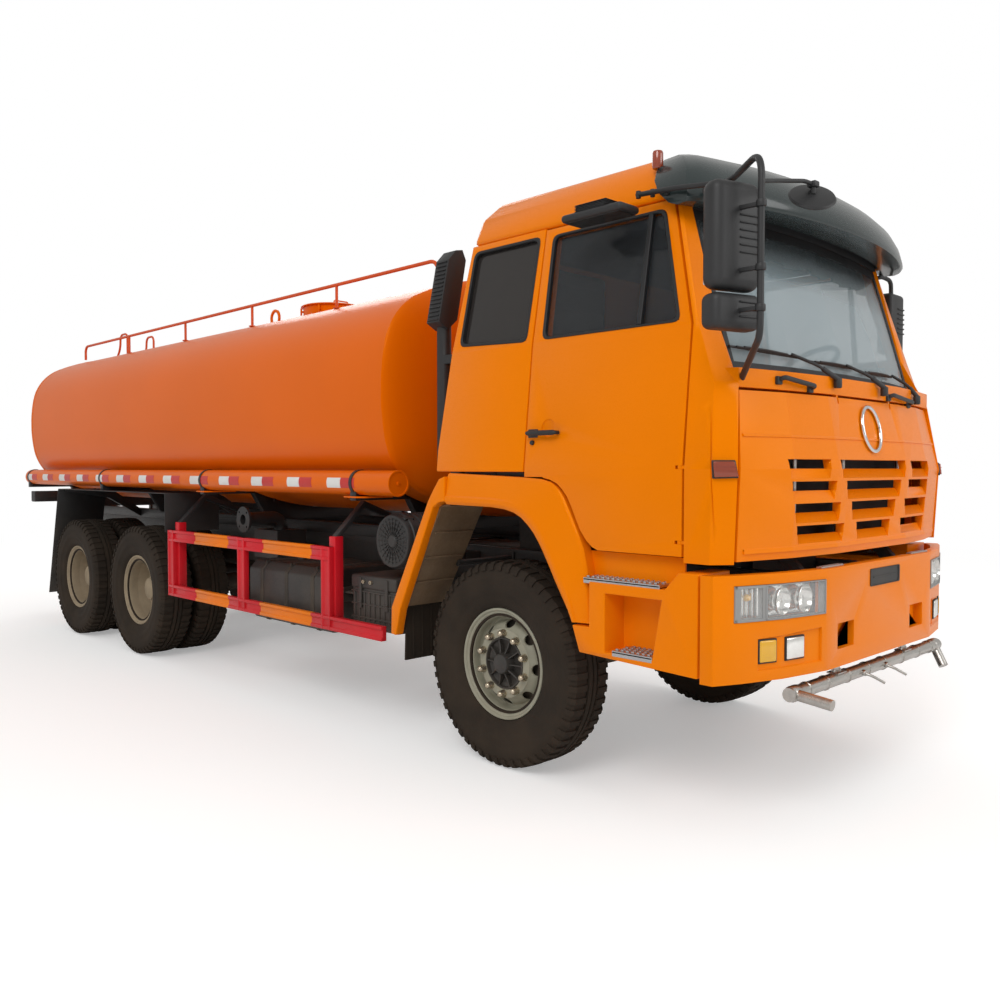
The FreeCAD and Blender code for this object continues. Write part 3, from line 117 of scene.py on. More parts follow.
def finish(name, colour, rough, metal=0.0, coat=0.0, vary=0.12, patch=2.0, grain=60.0,
           relief=0.05, depth=0.001, dust=0.0, dust_top=1.2, stretch=(1, 1, 1), rough_spread=0.08,
           dust_colour=DUST, gloss=0.5, sheen=None):
    """Paint, metal, rubber or plastic with patches of tone, grain, and dust that fades upward."""
    material, tree, shader = nodes_of(name)
    place = add(tree, "TexCoord").outputs["Object"]
    spot = add(tree, "Mapping", {"Scale": stretch}, {"Vector": place}).outputs["Vector"]
    dark = tuple(c * (1 - vary) for c in colour)
    light = tuple(min(1.0, c * (1 + vary)) for c in colour)
    tint = blended(tree, ranged(tree, noise(tree, spot, patch), 0.3, 0.7, 0, 1), dark, light)
    fine = noise(tree, spot, grain, 3.0)
    tint = blended(tree, ranged(tree, fine, 0.35, 0.75, 0, vary), tint, dark)
    spread = ranged(tree, fine, 0.3, 0.7, rough - rough_spread, rough + rough_spread)
    if dust > 0:
        fade = ranged(tree, height_of(tree, place), dust_top, 0.1, 0, dust)
        cloud = ranged(tree, noise(tree, place, 5.0, 6.0), 0.35, 0.65, 0.35, 1.0)
        layer = add(tree, "Math", links={0: fade, 1: cloud})
        layer.operation = "MULTIPLY"
        cover = layer.outputs[0]
        tint = blended(tree, cover, tint, dust_colour)
        spread = add(tree, "Mix", {3: 0.9}, {"Factor": cover, 2: spread}).outputs[0]
    tree.links.new(tint, shader.inputs["Base Color"])
    tree.links.new(spread, shader.inputs["Roughness"])
    for socket, value in (("Metallic", metal), ("Coat Weight", coat), ("Coat Roughness", 0.06),
                          ("Specular IOR Level", gloss)):
        shader.inputs[socket].default_value = value
    if sheen:
        shader.inputs["Specular Tint"].default_value = (*sheen, 1)
    bump = add(tree, "Bump", {"Strength": relief, "Distance": depth}, {"Height": fine})
    tree.links.new(bump.outputs["Normal"], shader.inputs["Normal"])
    return material


def glass(name, colour, rough, clear, painted_shade_heights=None):
    """Thin glass with faint smears; clear is how much shows through, and the optional heights are where the
    glass is painted darker and more see-through toward the top, a painted shade and reflection of the visor
    above.
    """
    material, tree, shader = nodes_of(name)
    place = add(tree, "TexCoord").outputs["Object"]
    smears = noise(tree, place, 6.0, 5.0)
    shader.inputs["IOR"].default_value = 1.45
    if painted_shade_heights:
        # painted shade: over these heights the glass colour falls to 0.22 of itself and the glass grows
        # clearer, standing in for the visor's shadow and dark reflection
        height = height_of(tree, place)
        tint = blended(tree, ranged(tree, height, *painted_shade_heights, 0.0, 1.0), colour, tuple(c * 0.22 for c in colour))
        solid = ranged(tree, height, *painted_shade_heights, 1 - clear, 0.75 * (1 - clear))
    else:
        tint = blended(tree, smears, colour, tuple(c * 0.8 for c in colour))
        solid = ranged(tree, smears, 0.3, 0.8, 1 - clear, 1 - clear + 0.08)
    for source, socket in ((ranged(tree, smears, 0.35, 0.7, rough, rough + 0.04), "Roughness"),
                           (tint, "Base Color"), (solid, "Alpha")):
        tree.links.new(source, shader.inputs[socket])
    return material


orange = finish("orange_paint", (0.86, 0.205, 0.0), 0.3, coat=0.03, vary=0.04, patch=0.8, grain=350,
                relief=0.03, depth=0.0004, dust=0.1, dust_top=1.6, gloss=0.35, sheen=(1.0, 0.42, 0.03),
                dust_colour=(0.45, 0.2, 0.06))
tank_orange = finish("tank_orange_paint", (0.76, 0.13, 0.0), 0.34, coat=0.02, vary=0.05,
                     patch=0.6, grain=240, depth=0.0006, dust=0.08, dust_top=1.9, gloss=0.35,
                     sheen=(1.0, 0.36, 0.02), dust_colour=(0.42, 0.14, 0.03))
rail_orange = finish("rail_orange_paint", (0.66, 0.085, 0.01), 0.35, coat=0.2, vary=0.08,
                     grain=200, gloss=0.2)
guard_orange = finish("guard_orange_paint", (0.84, 0.195, 0.0), 0.38, coat=0.15,
                      vary=0.08, grain=160, dust=0.12, gloss=0.15)
guard_red = finish("guard_red_paint", (0.6, 0.008, 0.018), 0.38, coat=0.2, vary=0.1, grain=160,
                   dust=0.1, gloss=0.2)
black_paint = finish("black_paint", (0.017, 0.017, 0.018), 0.45, vary=0.2, grain=120, relief=0.1, dust=0.28,
                     dust_top=1.3)
cast_iron = finish("cast_iron", (0.045, 0.043, 0.04), 0.7, metal=0.5, vary=0.25, grain=90, relief=0.3,
                   depth=0.002, dust=0.7)
aluminium = finish("worn_aluminium", (0.52, 0.52, 0.53), 0.38, metal=1.0, grain=180, relief=0.1,
                   dust=0.2)
stainless = finish("brushed_stainless", (0.5, 0.48, 0.45), 0.33, metal=1.0, vary=0.1, patch=8,
                   grain=40, stretch=(6, 1, 6), relief=0.12, depth=0.0005)
chrome = finish("bright_chrome", (0.72, 0.72, 0.73), 0.12, metal=1.0, vary=0.04, grain=80,
                relief=0.02, rough_spread=0.04)
black_plastic = finish("black_moulded_plastic", (0.018, 0.018, 0.019), 0.52, vary=0.2,
                       grain=700, relief=0.25, depth=0.0005, dust=0.3, dust_top=1.4)
trim_rubber = finish("black_trim_rubber", (0.012, 0.012, 0.013), 0.6, vary=0.25, grain=300,
                     relief=0.1)
tyre_rubber = finish("dusty_tyre_rubber", (0.022, 0.017, 0.013), 0.85, vary=0.2, patch=3,
                     grain=240, relief=0.25, dust=0.3, dust_top=2.2, dust_colour=(0.085, 0.055, 0.033),
                     gloss=0.2)
fairing_grey = finish("dark_fairing_paint", (0.026, 0.036, 0.036), 0.22, coat=0.25, vary=0.1,
                      grain=260, relief=0.005, gloss=0.3)
wheel_paint = finish("wheel_grey_paint", (0.3, 0.295, 0.225), 0.45, patch=9, grain=140,
                     relief=0.1, dust=0.35)
rear_wheel_paint = finish("dusty_wheel_paint", (0.3, 0.235, 0.15), 0.65, vary=0.18, patch=9,
                          grain=140, relief=0.15, dust=0.6)
hub_black = finish("hub_black_paint", (0.02, 0.019, 0.018), 0.45, vary=0.3, grain=120,
                   relief=0.15, dust=0.15)
nut_metal = finish("worn_nut_metal", (0.52, 0.45, 0.34), 0.28, metal=0.9, vary=0.15, grain=90,
                   relief=0.08)
grey_bezel = finish("grey_lamp_bezel", (0.27, 0.27, 0.265), 0.45, vary=0.06, grain=400,
                    relief=0.1)
reflector = finish("lamp_reflector_metal", (0.9, 0.89, 0.86), 0.16, metal=1.0, vary=0.06,
                   patch=30, relief=0.1, rough_spread=0.05)
brown_mud = finish("mud_covered_panel", (0.16, 0.095, 0.045), 0.85, vary=0.3, patch=4,
                   relief=0.3, dust=0.5, dust_top=2.0)
marker_red = finish("side_marker_lens", (0.28, 0.035, 0.006), 0.2, coat=0.8, vary=0.15,
                    grain=300, relief=0.2)
grille_mesh = finish("grille_dark_mesh", (0.02, 0.016, 0.014), 0.7, vary=0.3, grain=500,
                     relief=0.4)
# painted shade: a near-black shaded orange for the backs of the tow recesses, standing in for the shade
# inside them
recess_painted_shade = finish("tow_recess_painted_shade", (0.03, 0.009, 0.004), 0.8, vary=0.3, grain=200)
shade_cloth = finish("cab_shade_cloth", (0.045, 0.022, 0.014), 0.95, vary=0.3, patch=12,
                     grain=120, relief=0.03)
cab_lining = finish("cab_lining_cloth", (0.085, 0.075, 0.065), 0.9, vary=0.15, grain=160)
# painted reflection: the windscreen's pale bluish colour stands in for the sky reflected in the glass, and
# its top is painted darker as the visor's shade
painted_sky_glass = glass("windscreen_glass_painted_sky", (0.36, 0.44, 0.47), 0.02, 0.45, painted_shade_heights=(2.52, 2.74))
door_pane = glass("door_glass_clear", (0.05, 0.055, 0.06), 0.02, 0.66)
dark_glass = glass("tinted_glass", (0.03, 0.026, 0.024), 0.1, 0.1)
lens_clear = glass("clear_lens", (0.9, 0.91, 0.9), 0.03, 0.86)
lens_red = finish("red_lens", (0.45, 0.012, 0.01), 0.15, coat=0.8, vary=0.15, grain=220, relief=0.3)
lens_amber = finish("amber_lens", (0.8, 0.42, 0.01), 0.15, coat=0.8, vary=0.15, grain=260,
                    relief=0.3)
seat_cloth = finish("seat_cloth", (0.1, 0.09, 0.085), 0.95, vary=0.25, grain=200, relief=0.08)
white_reflector = finish("white_reflector", (0.7, 0.69, 0.67), 0.35, vary=0.08, grain=500,
                         relief=0.2)
red_reflector = finish("red_reflector", (0.52, 0.02, 0.015), 0.35, grain=500, relief=0.2)

WORN = [
    (black_paint, "chassis_frame radiator fuel_tanks water_pump tank_saddles cab_floor"),
    (cast_iron, "leaf_springs front_axle_beam rear_axles propeller_shafts engine_gearbox track_rod "
                "steering_knuckle_left steering_knuckle_right"),
    (black_plastic, "battery_box air_filter rear_fenders rear_beam mirror_left mirror_right dashboard "
                    "steering_wheel intake_column"),
    (orange, "front_bumper step_panels splash_guards cab_sides cab_rear_wall cab_roof cab_front_frame "
             "wheel_flares door_left door_right front_flap"),
    (tank_orange, "tank_shell manhole_lid hose_tubes"), (rail_orange, "tank_handrails"),
    (guard_orange, "side_guards"), (lens_red, "tail_lamps"), (lens_clear, "front_lamps"),
    (stainless, "sprinkler_bar"), (painted_sky_glass, "windscreen"), (dark_glass, "quarter_windows"),
    (fairing_grey, "roof_fairing"), (seat_cloth, "seats"), (door_pane, "door_glass_left door_glass_right"),
    (tyre_rubber, "front_tyre_left front_tyre_right rear_tyres_1_left rear_tyres_1_right "
                  "rear_tyres_2_left rear_tyres_2_right"),
    (wheel_paint, "front_wheel_left front_wheel_right"),
    (rear_wheel_paint, "rear_wheels_1_left rear_wheels_1_right rear_wheels_2_left rear_wheels_2_right"),
]
FINISHES = {node: surface for surface, names in WORN for node in names.split()}
for node, surface in FINISHES.items():
    mesh = frame["nodes"][node].data
    mesh.materials.clear()
    mesh.materials.append(surface)
BODY_OF = {node: body for body, members in frame["record"]["behaviour"]["bodies"].items() for node in members}


# ------------------------------------------------------------ making pieces
def mode(name):
    bpy.ops.object.mode_set(mode=name)


def only(piece):
    """Leaves just this piece selected, or nothing."""
    if bpy.context.mode != "OBJECT":
        mode("OBJECT")
    bpy.ops.object.select_all(action="DESELECT")
    if piece is not None:
        piece.select_set(True)
        bpy.context.view_layer.objects.active = piece
    return piece


def settle(piece):
    """Puts a piece's place, turn and scale into its mesh."""
    only(piece)
    bpy.ops.object.transform_apply(location=True, rotation=True, scale=True)
    return piece


def joined(pieces):
    """One piece from a list of pieces."""
    if not isinstance(pieces, list):
        return pieces
    only(None)
    for piece in pieces:
        piece.select_set(True)
    bpy.context.view_layer.objects.active = pieces[0]
    bpy.ops.object.join()
    return bpy.context.object


def removed(*pieces):
    only(None)
    for piece in pieces:
        piece.select_set(True)
    bpy.ops.object.delete()


def done(piece, name, body, surface, smooth=35, replaces=()):
    """Names a finished piece, gives it its finish and its body, and hides the nodes that it stands for."""
    piece = settle(joined(piece))
    bpy.ops.object.shade_smooth_by_angle(angle=math.radians(smooth))
    piece.name = piece.data.name = name
    piece.data.materials.clear()
    piece.data.materials.append(surface)
    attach(piece, body)
    if replaces:
        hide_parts(*replaces)
    return piece


def modified(piece, kind, **values):
    """Applies one modifier to a piece."""
    only(piece)
    modifier = piece.modifiers.new(kind.lower(), kind)
    for name, value in values.items():
        setattr(modifier, name, value)
    bpy.ops.object.modifier_apply(modifier=modifier.name)
    return piece


def bevelled(piece, width, segments=2, angle=30):
    """Softens a piece's sharp edges, unless the width is nothing."""
    if not width:
        return piece
    return modified(piece, "BEVEL", width=width, segments=segments, limit_method="ANGLE",
                    angle_limit=math.radians(angle))


def block(low, high, edge=0.004, segments=2):
    """A box between two corners with softened edges."""
    only(None)
    low, high = Vector(low), Vector(high)
    bpy.ops.mesh.primitive_cube_add(size=1, location=(low + high) / 2)
    piece = bpy.context.object
    piece.scale = [abs(b - a) for a, b in zip(low, high)]
    return bevelled(settle(piece), edge, segments)


def crate(low, high, edge=0.004, segments=2):
    """A box between two of the truck's own places."""
    return block(at(*low), at(*high), edge, segments)


def ring(points):
    """A loop of edges through the points."""
    only(None)
    bpy.ops.mesh.primitive_circle_add(vertices=len(points), radius=1, fill_type="NOTHING")
    piece = bpy.context.object
    for vertex, point in zip(piece.data.vertices, points):
        vertex.co = point
    return piece


def edit(piece, action="SELECT"):
    only(piece)
    mode("EDIT")
    bpy.ops.mesh.select_mode(type="VERT")
    bpy.ops.mesh.select_all(action=action)


def pick(piece, test, kind="FACE"):
    """Selects the faces or edges that pass a test, and leaves the piece in edit mode."""
    edit(piece, "DESELECT")
    bpy.ops.mesh.select_mode(type=kind)
    mode("OBJECT")
    for part in piece.data.polygons if kind == "FACE" else piece.data.edges:
        part.select = test(part)
    mode("EDIT")
    return piece


def outward(piece):
    """Merges doubled points and turns every face outward."""
    edit(piece)
    bpy.ops.mesh.remove_doubles(threshold=0.00001)
    bpy.ops.mesh.normals_make_consistent(inside=False)
    mode("OBJECT")
    return piece


def slab(points, push, edge=0.0, segments=2):
    """A flat outline pushed along a vector."""
    piece = ring(points)
    edit(piece)
    bpy.ops.mesh.edge_face_add()
    bpy.ops.mesh.extrude_region_move(TRANSFORM_OT_translate={"value": push})
    return bevelled(outward(piece), edge, segments)


def stack(sections, capped=True):
    """Rings with the same number of points, joined one to the next by extruding."""
    before = sections[0]
    piece = ring(before)
    count = len(before)
    for section in sections[1:]:
        edit(piece, "DESELECT")
        mode("OBJECT")
        vertices = piece.data.vertices
        for vertex in vertices[-count:]:
            vertex.select = True
        for edge in piece.data.edges:
            edge.select = all(vertices[i].select for i in edge.vertices)
        mode("EDIT")
        bpy.ops.mesh.extrude_edges_move()
        mode("OBJECT")
        for vertex in piece.data.vertices[-count:]:
            nearest = min(range(count), key=lambda i: (Vector(before[i]) - vertex.co).length_squared)
            vertex.co = section[nearest]
        before = section
    if capped:
        edit(piece)
        bpy.ops.mesh.fill_holes(sides=0)
    return outward(piece)


def strips(place, columns, section):
    """Runs between neighbouring columns, each with the same section of (height, out) points."""
    return [stack([[place(y, z, out) for z, out in section] for y in pair])
            for pair in zip(columns, columns[1:])]


AXES = {"x": (Vector((1, 0, 0)), Vector((0, 0, 1))), "y": (Vector((0, 1, 0)), Vector((0, 0, 1))),
        "z": (Vector((0, 0, 1)), Vector((1, 0, 0)))}


def turned(profile, centre, axis="y", steps=48, closed=True):
    """A profile of (along, radius) spun round an axis."""
    along, out = AXES[axis]
    centre = Vector(centre)
    piece = ring([centre + along * a + out * r for a, r in profile])
    if closed:
        edit(piece)
    else:
        ends = {0, len(profile) - 1}
        pick(piece, lambda edge: set(edge.vertices) == ends, "EDGE")
        bpy.ops.mesh.delete(type="EDGE_FACE")
        bpy.ops.mesh.select_mode(type="VERT")
        bpy.ops.mesh.select_all(action="SELECT")
    bpy.ops.mesh.spin(steps=steps, angle=2 * math.pi, center=centre, axis=along)
    return outward(piece)


def rod(centre, radius, half_length, axis="y", edge=0.002, sides=32):
    """A round bar with softened ends."""
    shape = [(-half_length, 0), (-half_length, radius), (half_length, radius), (half_length, 0)]
    return bevelled(turned(shape, centre, axis, sides, closed=False), edge)


def rounding(before, corner, after, radius):
    """Where a corner's arc starts and ends."""
    back, ahead = before - corner, after - corner
    reach = min(radius, back.length * 0.45, ahead.length * 0.45)
    return corner + back.normalized() * reach, corner + ahead.normalized() * reach


def tube(points, radius, bend=0.05, sides=4):
    """A round bar along straight runs with rounded corners."""
    only(None)
    bpy.ops.curve.primitive_bezier_curve_add()
    piece = bpy.context.object
    piece.location = (0, 0, 0)
    data = piece.data
    data.splines.clear()
    points = [Vector(p) for p in points]
    knots = [(points[0], None, None)]
    for before, corner, after in zip(points, points[1:], points[2:]):
        enter, leave = rounding(before, corner, after, bend)
        knots += [(enter, None, corner), (leave, corner, None)]
    knots.append((points[-1], None, None))
    spline = data.splines.new("BEZIER")
    spline.bezier_points.add(len(knots) - 1)
    for knot, (place, left, right) in zip(spline.bezier_points, knots):
        knot.handle_left_type = knot.handle_right_type = "FREE"
        knot.co = place
        knot.handle_left = place.lerp(left, 0.55) if left else place
        knot.handle_right = place.lerp(right, 0.55) if right else place
    data.dimensions = "3D"
    data.resolution_u = 5
    data.bevel_depth = radius
    data.bevel_resolution = sides
    data.use_fill_caps = True
    only(piece)
    bpy.ops.object.convert(target="MESH")
    return outward(bpy.context.object)


def pipe(points, *shape):
    """A round bar through some of the truck's own places."""
    return tube([at(*point) for point in points], *shape)


def copied(piece, shift=(0, 0, 0)):
    """Another piece of the same shape, with its own mesh."""
    only(piece)
    bpy.ops.object.duplicate()
    other = bpy.context.object
    other.location = Vector(other.location) + Vector(shift)
    return settle(other)


def across(piece):
    """The same piece on the other side."""
    other = copied(piece)
    other.scale = (1, -1, 1)
    settle(other)
    edit(other)
    bpy.ops.mesh.normals_make_consistent(inside=False)
    mode("OBJECT")
    return other


def both(pieces):
    piece = joined(pieces)
    return joined([piece, across(piece)])


def around(piece, count, centre, axis="y", start=0.0):
    """Copies of a piece at even turns about an axis, joined."""
    along, centre = AXES[axis][0], Vector(centre)
    pieces = []
    for number in range(count):
        other = copied(piece)
        only(other)
        other.rotation_mode = "AXIS_ANGLE"
        angle = start + 2 * math.pi * number / count
        other.rotation_axis_angle = (angle, *along)
        other.location = centre - Matrix.Rotation(angle, 3, along) @ centre
        pieces.append(settle(other))
    removed(piece)
    return joined(pieces)


def cut_away(piece, *cutters):
    """Takes the cutters' shapes out of a piece."""
    for cutter in cutters:
        modified(piece, "BOOLEAN", operation="DIFFERENCE", solver="EXACT", object=cutter)
    removed(*cutters)
    return piece


def softened(node, width=0.006, segments=2):
    """A merged copy of a node's mesh with softened edges."""
    only(frame["nodes"][node])
    bpy.ops.object.duplicate()
    piece = bpy.context.object
    edit(piece)
    bpy.ops.mesh.remove_doubles(threshold=0.00002)
    bpy.ops.mesh.dissolve_limited(angle_limit=math.radians(2))
    mode("OBJECT")
    return bevelled(piece, width, segments, 25)


# ------------------------------------------------------------ wheels
# along, radius: half of a tyre's skin, from the bead to the middle of the tread
TYRE_HALF = [(0.09, 0.2585), (0.089, 0.3005), (0.1, 0.3055), (0.113, 0.312), (0.124, 0.33), (0.1265, 0.334),
             (0.1315, 0.358),
             (0.1385, 0.388), (0.1405, 0.391), (0.143, 0.421), (0.1405, 0.456), (0.142, 0.459),
             (0.1385, 0.488), (0.1345, 0.512), (0.13, 0.533), (0.117, 0.5485), (0.08, 0.551),
             (0.046, 0.552), (0.043, 0.544), (0.033, 0.544), (0.03, 0.558), (0.006, 0.5605),
             (0.004, 0.545)]
LUGS = 54
LUG_HEIGHT = 0.0095


def tyre(x, y):
    """A tyre whose shoulder faces stand out in turn as lugs."""
    profile = TYRE_HALF + [(-a, r) for a, r in reversed(TYRE_HALF)]
    piece = turned(profile, (x, y, WHEEL_HEIGHT), "y", LUGS * 2)
    sector = math.pi / LUGS

    def is_lug(face):
        spot = face.center - Vector((x, y, WHEEL_HEIGHT))
        reach = math.hypot(spot.x, spot.z)
        turn = int(math.floor(math.atan2(spot.z, spot.x) / sector + 1000.001)) % 2
        outer = 0.52 < reach and 0.046 < abs(spot.y) < 0.135
        return outer and turn == (spot.y > 0)

    pick(piece, is_lug)
    bpy.ops.mesh.extrude_region_shrink_fatten(TRANSFORM_OT_shrink_fatten={"value": LUG_HEIGHT})
    bpy.ops.mesh.select_mode(type="VERT")
    mode("OBJECT")
    return piece


# along (outward), radius: the front disc's outer skin from its flange to its hub hole
FLANGE = [(0.09, 0.303), (0.105, 0.304), (0.1085, 0.301), (0.1085, 0.2935), (0.102, 0.287), (0.096, 0.285),
          (0.096, 0.277), (0.09, 0.273)]
FRONT_RIM = FLANGE + [(0.07, 0.261), (0.035, 0.252), (0.02, 0.243), (0.024, 0.233), (0.04, 0.225),
                      (0.06, 0.208), (0.072, 0.196), (0.078, 0.192), (0.085, 0.188), (0.087, 0.183),
                      (0.087, 0.144)]
REAR_RIM = FLANGE + [(0.02, 0.256), (-0.02, 0.248), (-0.08, 0.245), (-0.095, 0.236), (-0.105, 0.22),
                     (-0.118, 0.205), (-0.13, 0.19), (-0.135, 0.175), (-0.135, 0.106)]
HAND_HOLES = 8


def spun(x, y, sign, profile, steps=48, closed=False):
    """A profile of (outward, radius) spun round a wheel's middle."""
    return turned([(sign * a, r) for a, r in profile], (x, y, WHEEL_HEIGHT), "y", steps, closed)


def rim(x, y, sign, skin, holes_at, hole_depth):
    """A pressed wheel: its skin, its back 8 mm behind, the rear flange, and oval hand holes."""
    back = [(a - 0.008, r - 0.004 if r > 0.24 else r - 0.002) for a, r in reversed(skin)]
    centre = (x, y, WHEEL_HEIGHT)
    piece = spun(x, y, sign, skin + back, 64, True)
    barrel = [(-0.1, 0.302), (-0.108, 0.3), (-0.108, 0.28), (-0.09, 0.262),
              (0.02, 0.248), (0.075, 0.256), (0.08, 0.261), (0.02, 0.2545),
              (-0.085, 0.268), (-0.1, 0.285)]
    well = spun(x, y, sign, barrel, 64, True)
    hole = rod((0, 0, 0), 0.021, 0.05, "y", 0, 20)
    hole.scale = (1.5, 1, 1)
    hole.location = (x, y + sign * hole_depth, WHEEL_HEIGHT + holes_at)
    settle(hole)
    cut_away(piece, around(hole, HAND_HOLES, centre, "y", math.radians(3)))
    bevelled(piece, 0.003, 2, 40)
    return joined([piece, well])


def nuts(x, y, sign, depth, reach=0.1675):
    """Ten domed nuts in a circle."""
    nut = turned([(0, 0), (0, 0.0215), (sign * 0.014, 0.021), (sign * 0.018, 0.0185), (sign * 0.03, 0.018),
                  (sign * 0.04, 0.0135), (sign * 0.0445, 0.006), (sign * 0.0455, 0)],
                 (x, y + sign * depth, WHEEL_HEIGHT + reach), "y", 16, closed=False)
    return around(nut, 10, (x, y, WHEEL_HEIGHT), "y")


def front_hub(x, y, sign):
    centre = (x, y, WHEEL_HEIGHT)
    body = spun(x, y, sign, [(0.02, 0), (0.02, 0.142), (0.084, 0.1425), (0.09, 0.139), (0.09, 0.133),
                             (0.072, 0.127), (0.062, 0.1), (0.066, 0.063), (0.104, 0.057), (0.118, 0.051),
                             (0.124, 0.04), (0.127, 0)])
    rib = slab([(x - 0.004, y + sign * a, WHEEL_HEIGHT + r) for a, r in
                ((0.055, 0.055), (0.102, 0.055), (0.09, 0.095), (0.087, 0.133), (0.055, 0.133))],
                (0.008, 0, 0),
               0.0015, 1)
    return joined([body, around(rib, 10, centre, "y", math.radians(18))])


def drum(x, y, sign, face):
    """The brake drum seen through the hand holes."""
    return spun(x, y, sign, [(face - a, r) for a, r in (
        (0.0, 0.0), (0.0, 0.185), (0.012, 0.232), (0.03, 0.24), (0.04, 0.24), (0.044, 0.234), (0.056, 0.234),
        (0.06, 0.24), (0.075, 0.24), (0.075, 0.0))])


def rear_hub(x, y, sign):
    body = spun(x, y, sign, [(-0.16, 0), (-0.16, 0.105), (-0.05, 0.1), (-0.045, 0.118), (-0.03, 0.118),
                             (-0.026, 0.1), (0.01, 0.092), (0.016, 0.08), (0.018, 0)])
    bolt = rod((x, y - sign * 0.026, WHEEL_HEIGHT + 0.109), 0.0075, 0.008, "y", 0.0015, 6)
    return joined([body, around(bolt, 8, (x, y, WHEEL_HEIGHT), "y")])


def wheels():
    y = (tyre_low[1] + tyre_high[1]) / 2
    parts = {
        "tyre": (tyre(FRONT_WHEEL, y), tyre_rubber, "front_tyre"),
        "disc": (rim(FRONT_WHEEL, y, -1, FRONT_RIM, 0.214, 0.055), wheel_paint, "front_wheel"),
        "nuts": (nuts(FRONT_WHEEL, y, -1, 0.087, 0.166), nut_metal, None),
        "hub": (front_hub(FRONT_WHEEL, y, -1), hub_black, None),
        "drum": (drum(FRONT_WHEEL, y, -1, 0.012), cast_iron, None),
    }
    for part, (piece, surface, node) in parts.items():
        for side, one in (("left", across(piece)), ("right", piece)):
            done(one, "front_%s_%s_detail" % (part, side), "front_wheel_" + side, surface,
                 replaces=[node + "_" + side] if node else ())

    low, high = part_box("rear_tyres_1_right")
    x = (low[0] + high[0]) / 2
    outer = low[1] + 0.145
    inner = high[1] - 0.145
    parts = {
        "tyres": (joined([tyre(x, outer), tyre(x, inner)]), tyre_rubber, "rear_tyres"),
        "discs": (joined([rim(x, outer, -1, REAR_RIM, 0.213, -0.12),
                          rim(x, inner, 1, REAR_RIM, 0.213, -0.12)]),
                  rear_wheel_paint, "rear_wheels"),
        "nuts": (nuts(x, outer, -1, -0.135), rear_wheel_paint, None),
        "hub": (rear_hub(x, outer, -1), rear_wheel_paint, None),
    }
    low_2, high_2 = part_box("rear_tyres_2_right")
    back = (low_2[0] + high_2[0]) / 2 - x
    for part, (piece, surface, node) in parts.items():
        for number, shift in ((1, 0.0), (2, back)):
            right = copied(piece, (shift, 0, 0))
            left = across(right)
            for side, one in (("right", right), ("left", left)):
                done(one, "rear_%s_%d_%s_detail" % (part, number, side), "rear_wheels_%d_%s" % (number, side),
                     surface, replaces=["%s_%d_%s" % (node, number, side)] if node else ())
        removed(piece)


# ------------------------------------------------------------ tank
TANK_FRONT, TANK_REAR = -0.95, -7.26
TANK_HALF_WIDTH, TANK_HALF_HEIGHT, TANK_CENTRE = 1.14, 0.81, 2.08
TOP_RADIUS, SIDE_RADIUS, CORNER_RADIUS = 2.0, 1.5, 0.48


def tank_quarter():
    """Across and up from the tank's centre: the top arc, the corner arc and the side arc."""
    top = Vector((0, TANK_HALF_HEIGHT - TOP_RADIUS))
    side = Vector((TANK_HALF_WIDTH - SIDE_RADIUS, 0))
    to_top, to_side = TOP_RADIUS - CORNER_RADIUS, SIDE_RADIUS - CORNER_RADIUS
    between = side - top
    length = between.length
    along = (to_top ** 2 - to_side ** 2 + length ** 2) / (2 * length)
    off = math.sqrt(to_top ** 2 - along ** 2)
    direction = between / length
    corner = top + direction * along + Vector((direction.y, -direction.x)) * -off
    if corner.x < 0:
        corner = top + direction * along + Vector((direction.y, -direction.x)) * off
    first = math.atan2((corner - top).y, (corner - top).x)
    last = math.atan2((corner - side).y, (corner - side).x)
    points = []
    for middle, radius, start, end, count in ((top, TOP_RADIUS, math.pi / 2, first, 8),
                                              (corner, CORNER_RADIUS, first, last, 10),
                                              (side, SIDE_RADIUS, last, 0.0, 6)):
        for step in range(count):
            angle = start + (end - start) * step / count
            points.append(middle + Vector((math.cos(angle), math.sin(angle))) * radius)
    return points + [Vector((TANK_HALF_WIDTH, 0))]


QUARTER = tank_quarter()


def tank_ring(x, share=1.0, grow=0.0):
    """The tank's outline at a place along it, shrunk toward its centre."""
    right = [Vector((p.x, p.y)) for p in QUARTER]
    lower = [Vector((p.x, -p.y)) for p in reversed(QUARTER[:-1])]
    left_low = [Vector((-p.x, p.y)) for p in reversed(lower[:-1])]
    left_top = [Vector((-p.x, p.y)) for p in reversed(right[1:-1])]
    outline = [p * share + p.normalized() * grow for p in right + lower + left_low + left_top]
    return [at(x, p.x, TANK_CENTRE + p.y) for p in outline]


def tank():
    dome = [(0.0, 1.0), (0.01, 0.992), (0.024, 0.97), (0.048, 0.915), (0.072, 0.82), (0.095, 0.66),
            (0.112, 0.46), (0.121, 0.24), (0.1245, 0.06)]
    sections = [tank_ring(TANK_FRONT + out, share) for out, share in reversed(dome)]
    sections += [tank_ring(x, 1.0, grow) for x, grow in
                 ((TANK_FRONT - 0.004, 0.003), (TANK_FRONT - 0.03, 0.003), (TANK_FRONT - 0.034, 0.0))]
    sections += [tank_ring(TANK_FRONT + (TANK_REAR - TANK_FRONT) * step / 10) for step in range(1, 10)]
    sections += [tank_ring(x, 1.0, grow) for x, grow in
                 ((TANK_REAR + 0.034, 0.0), (TANK_REAR + 0.03, 0.003), (TANK_REAR + 0.004, 0.003))]
    sections += [tank_ring(TANK_REAR - out, share) for out, share in dome]
    done(stack(sections), "tank_body", "chassis", tank_orange, 30, replaces=["tank_shell"])


# along the tank: the manhole's middle and the lifting rings
MANHOLE, RINGS = -3.13, -3.52


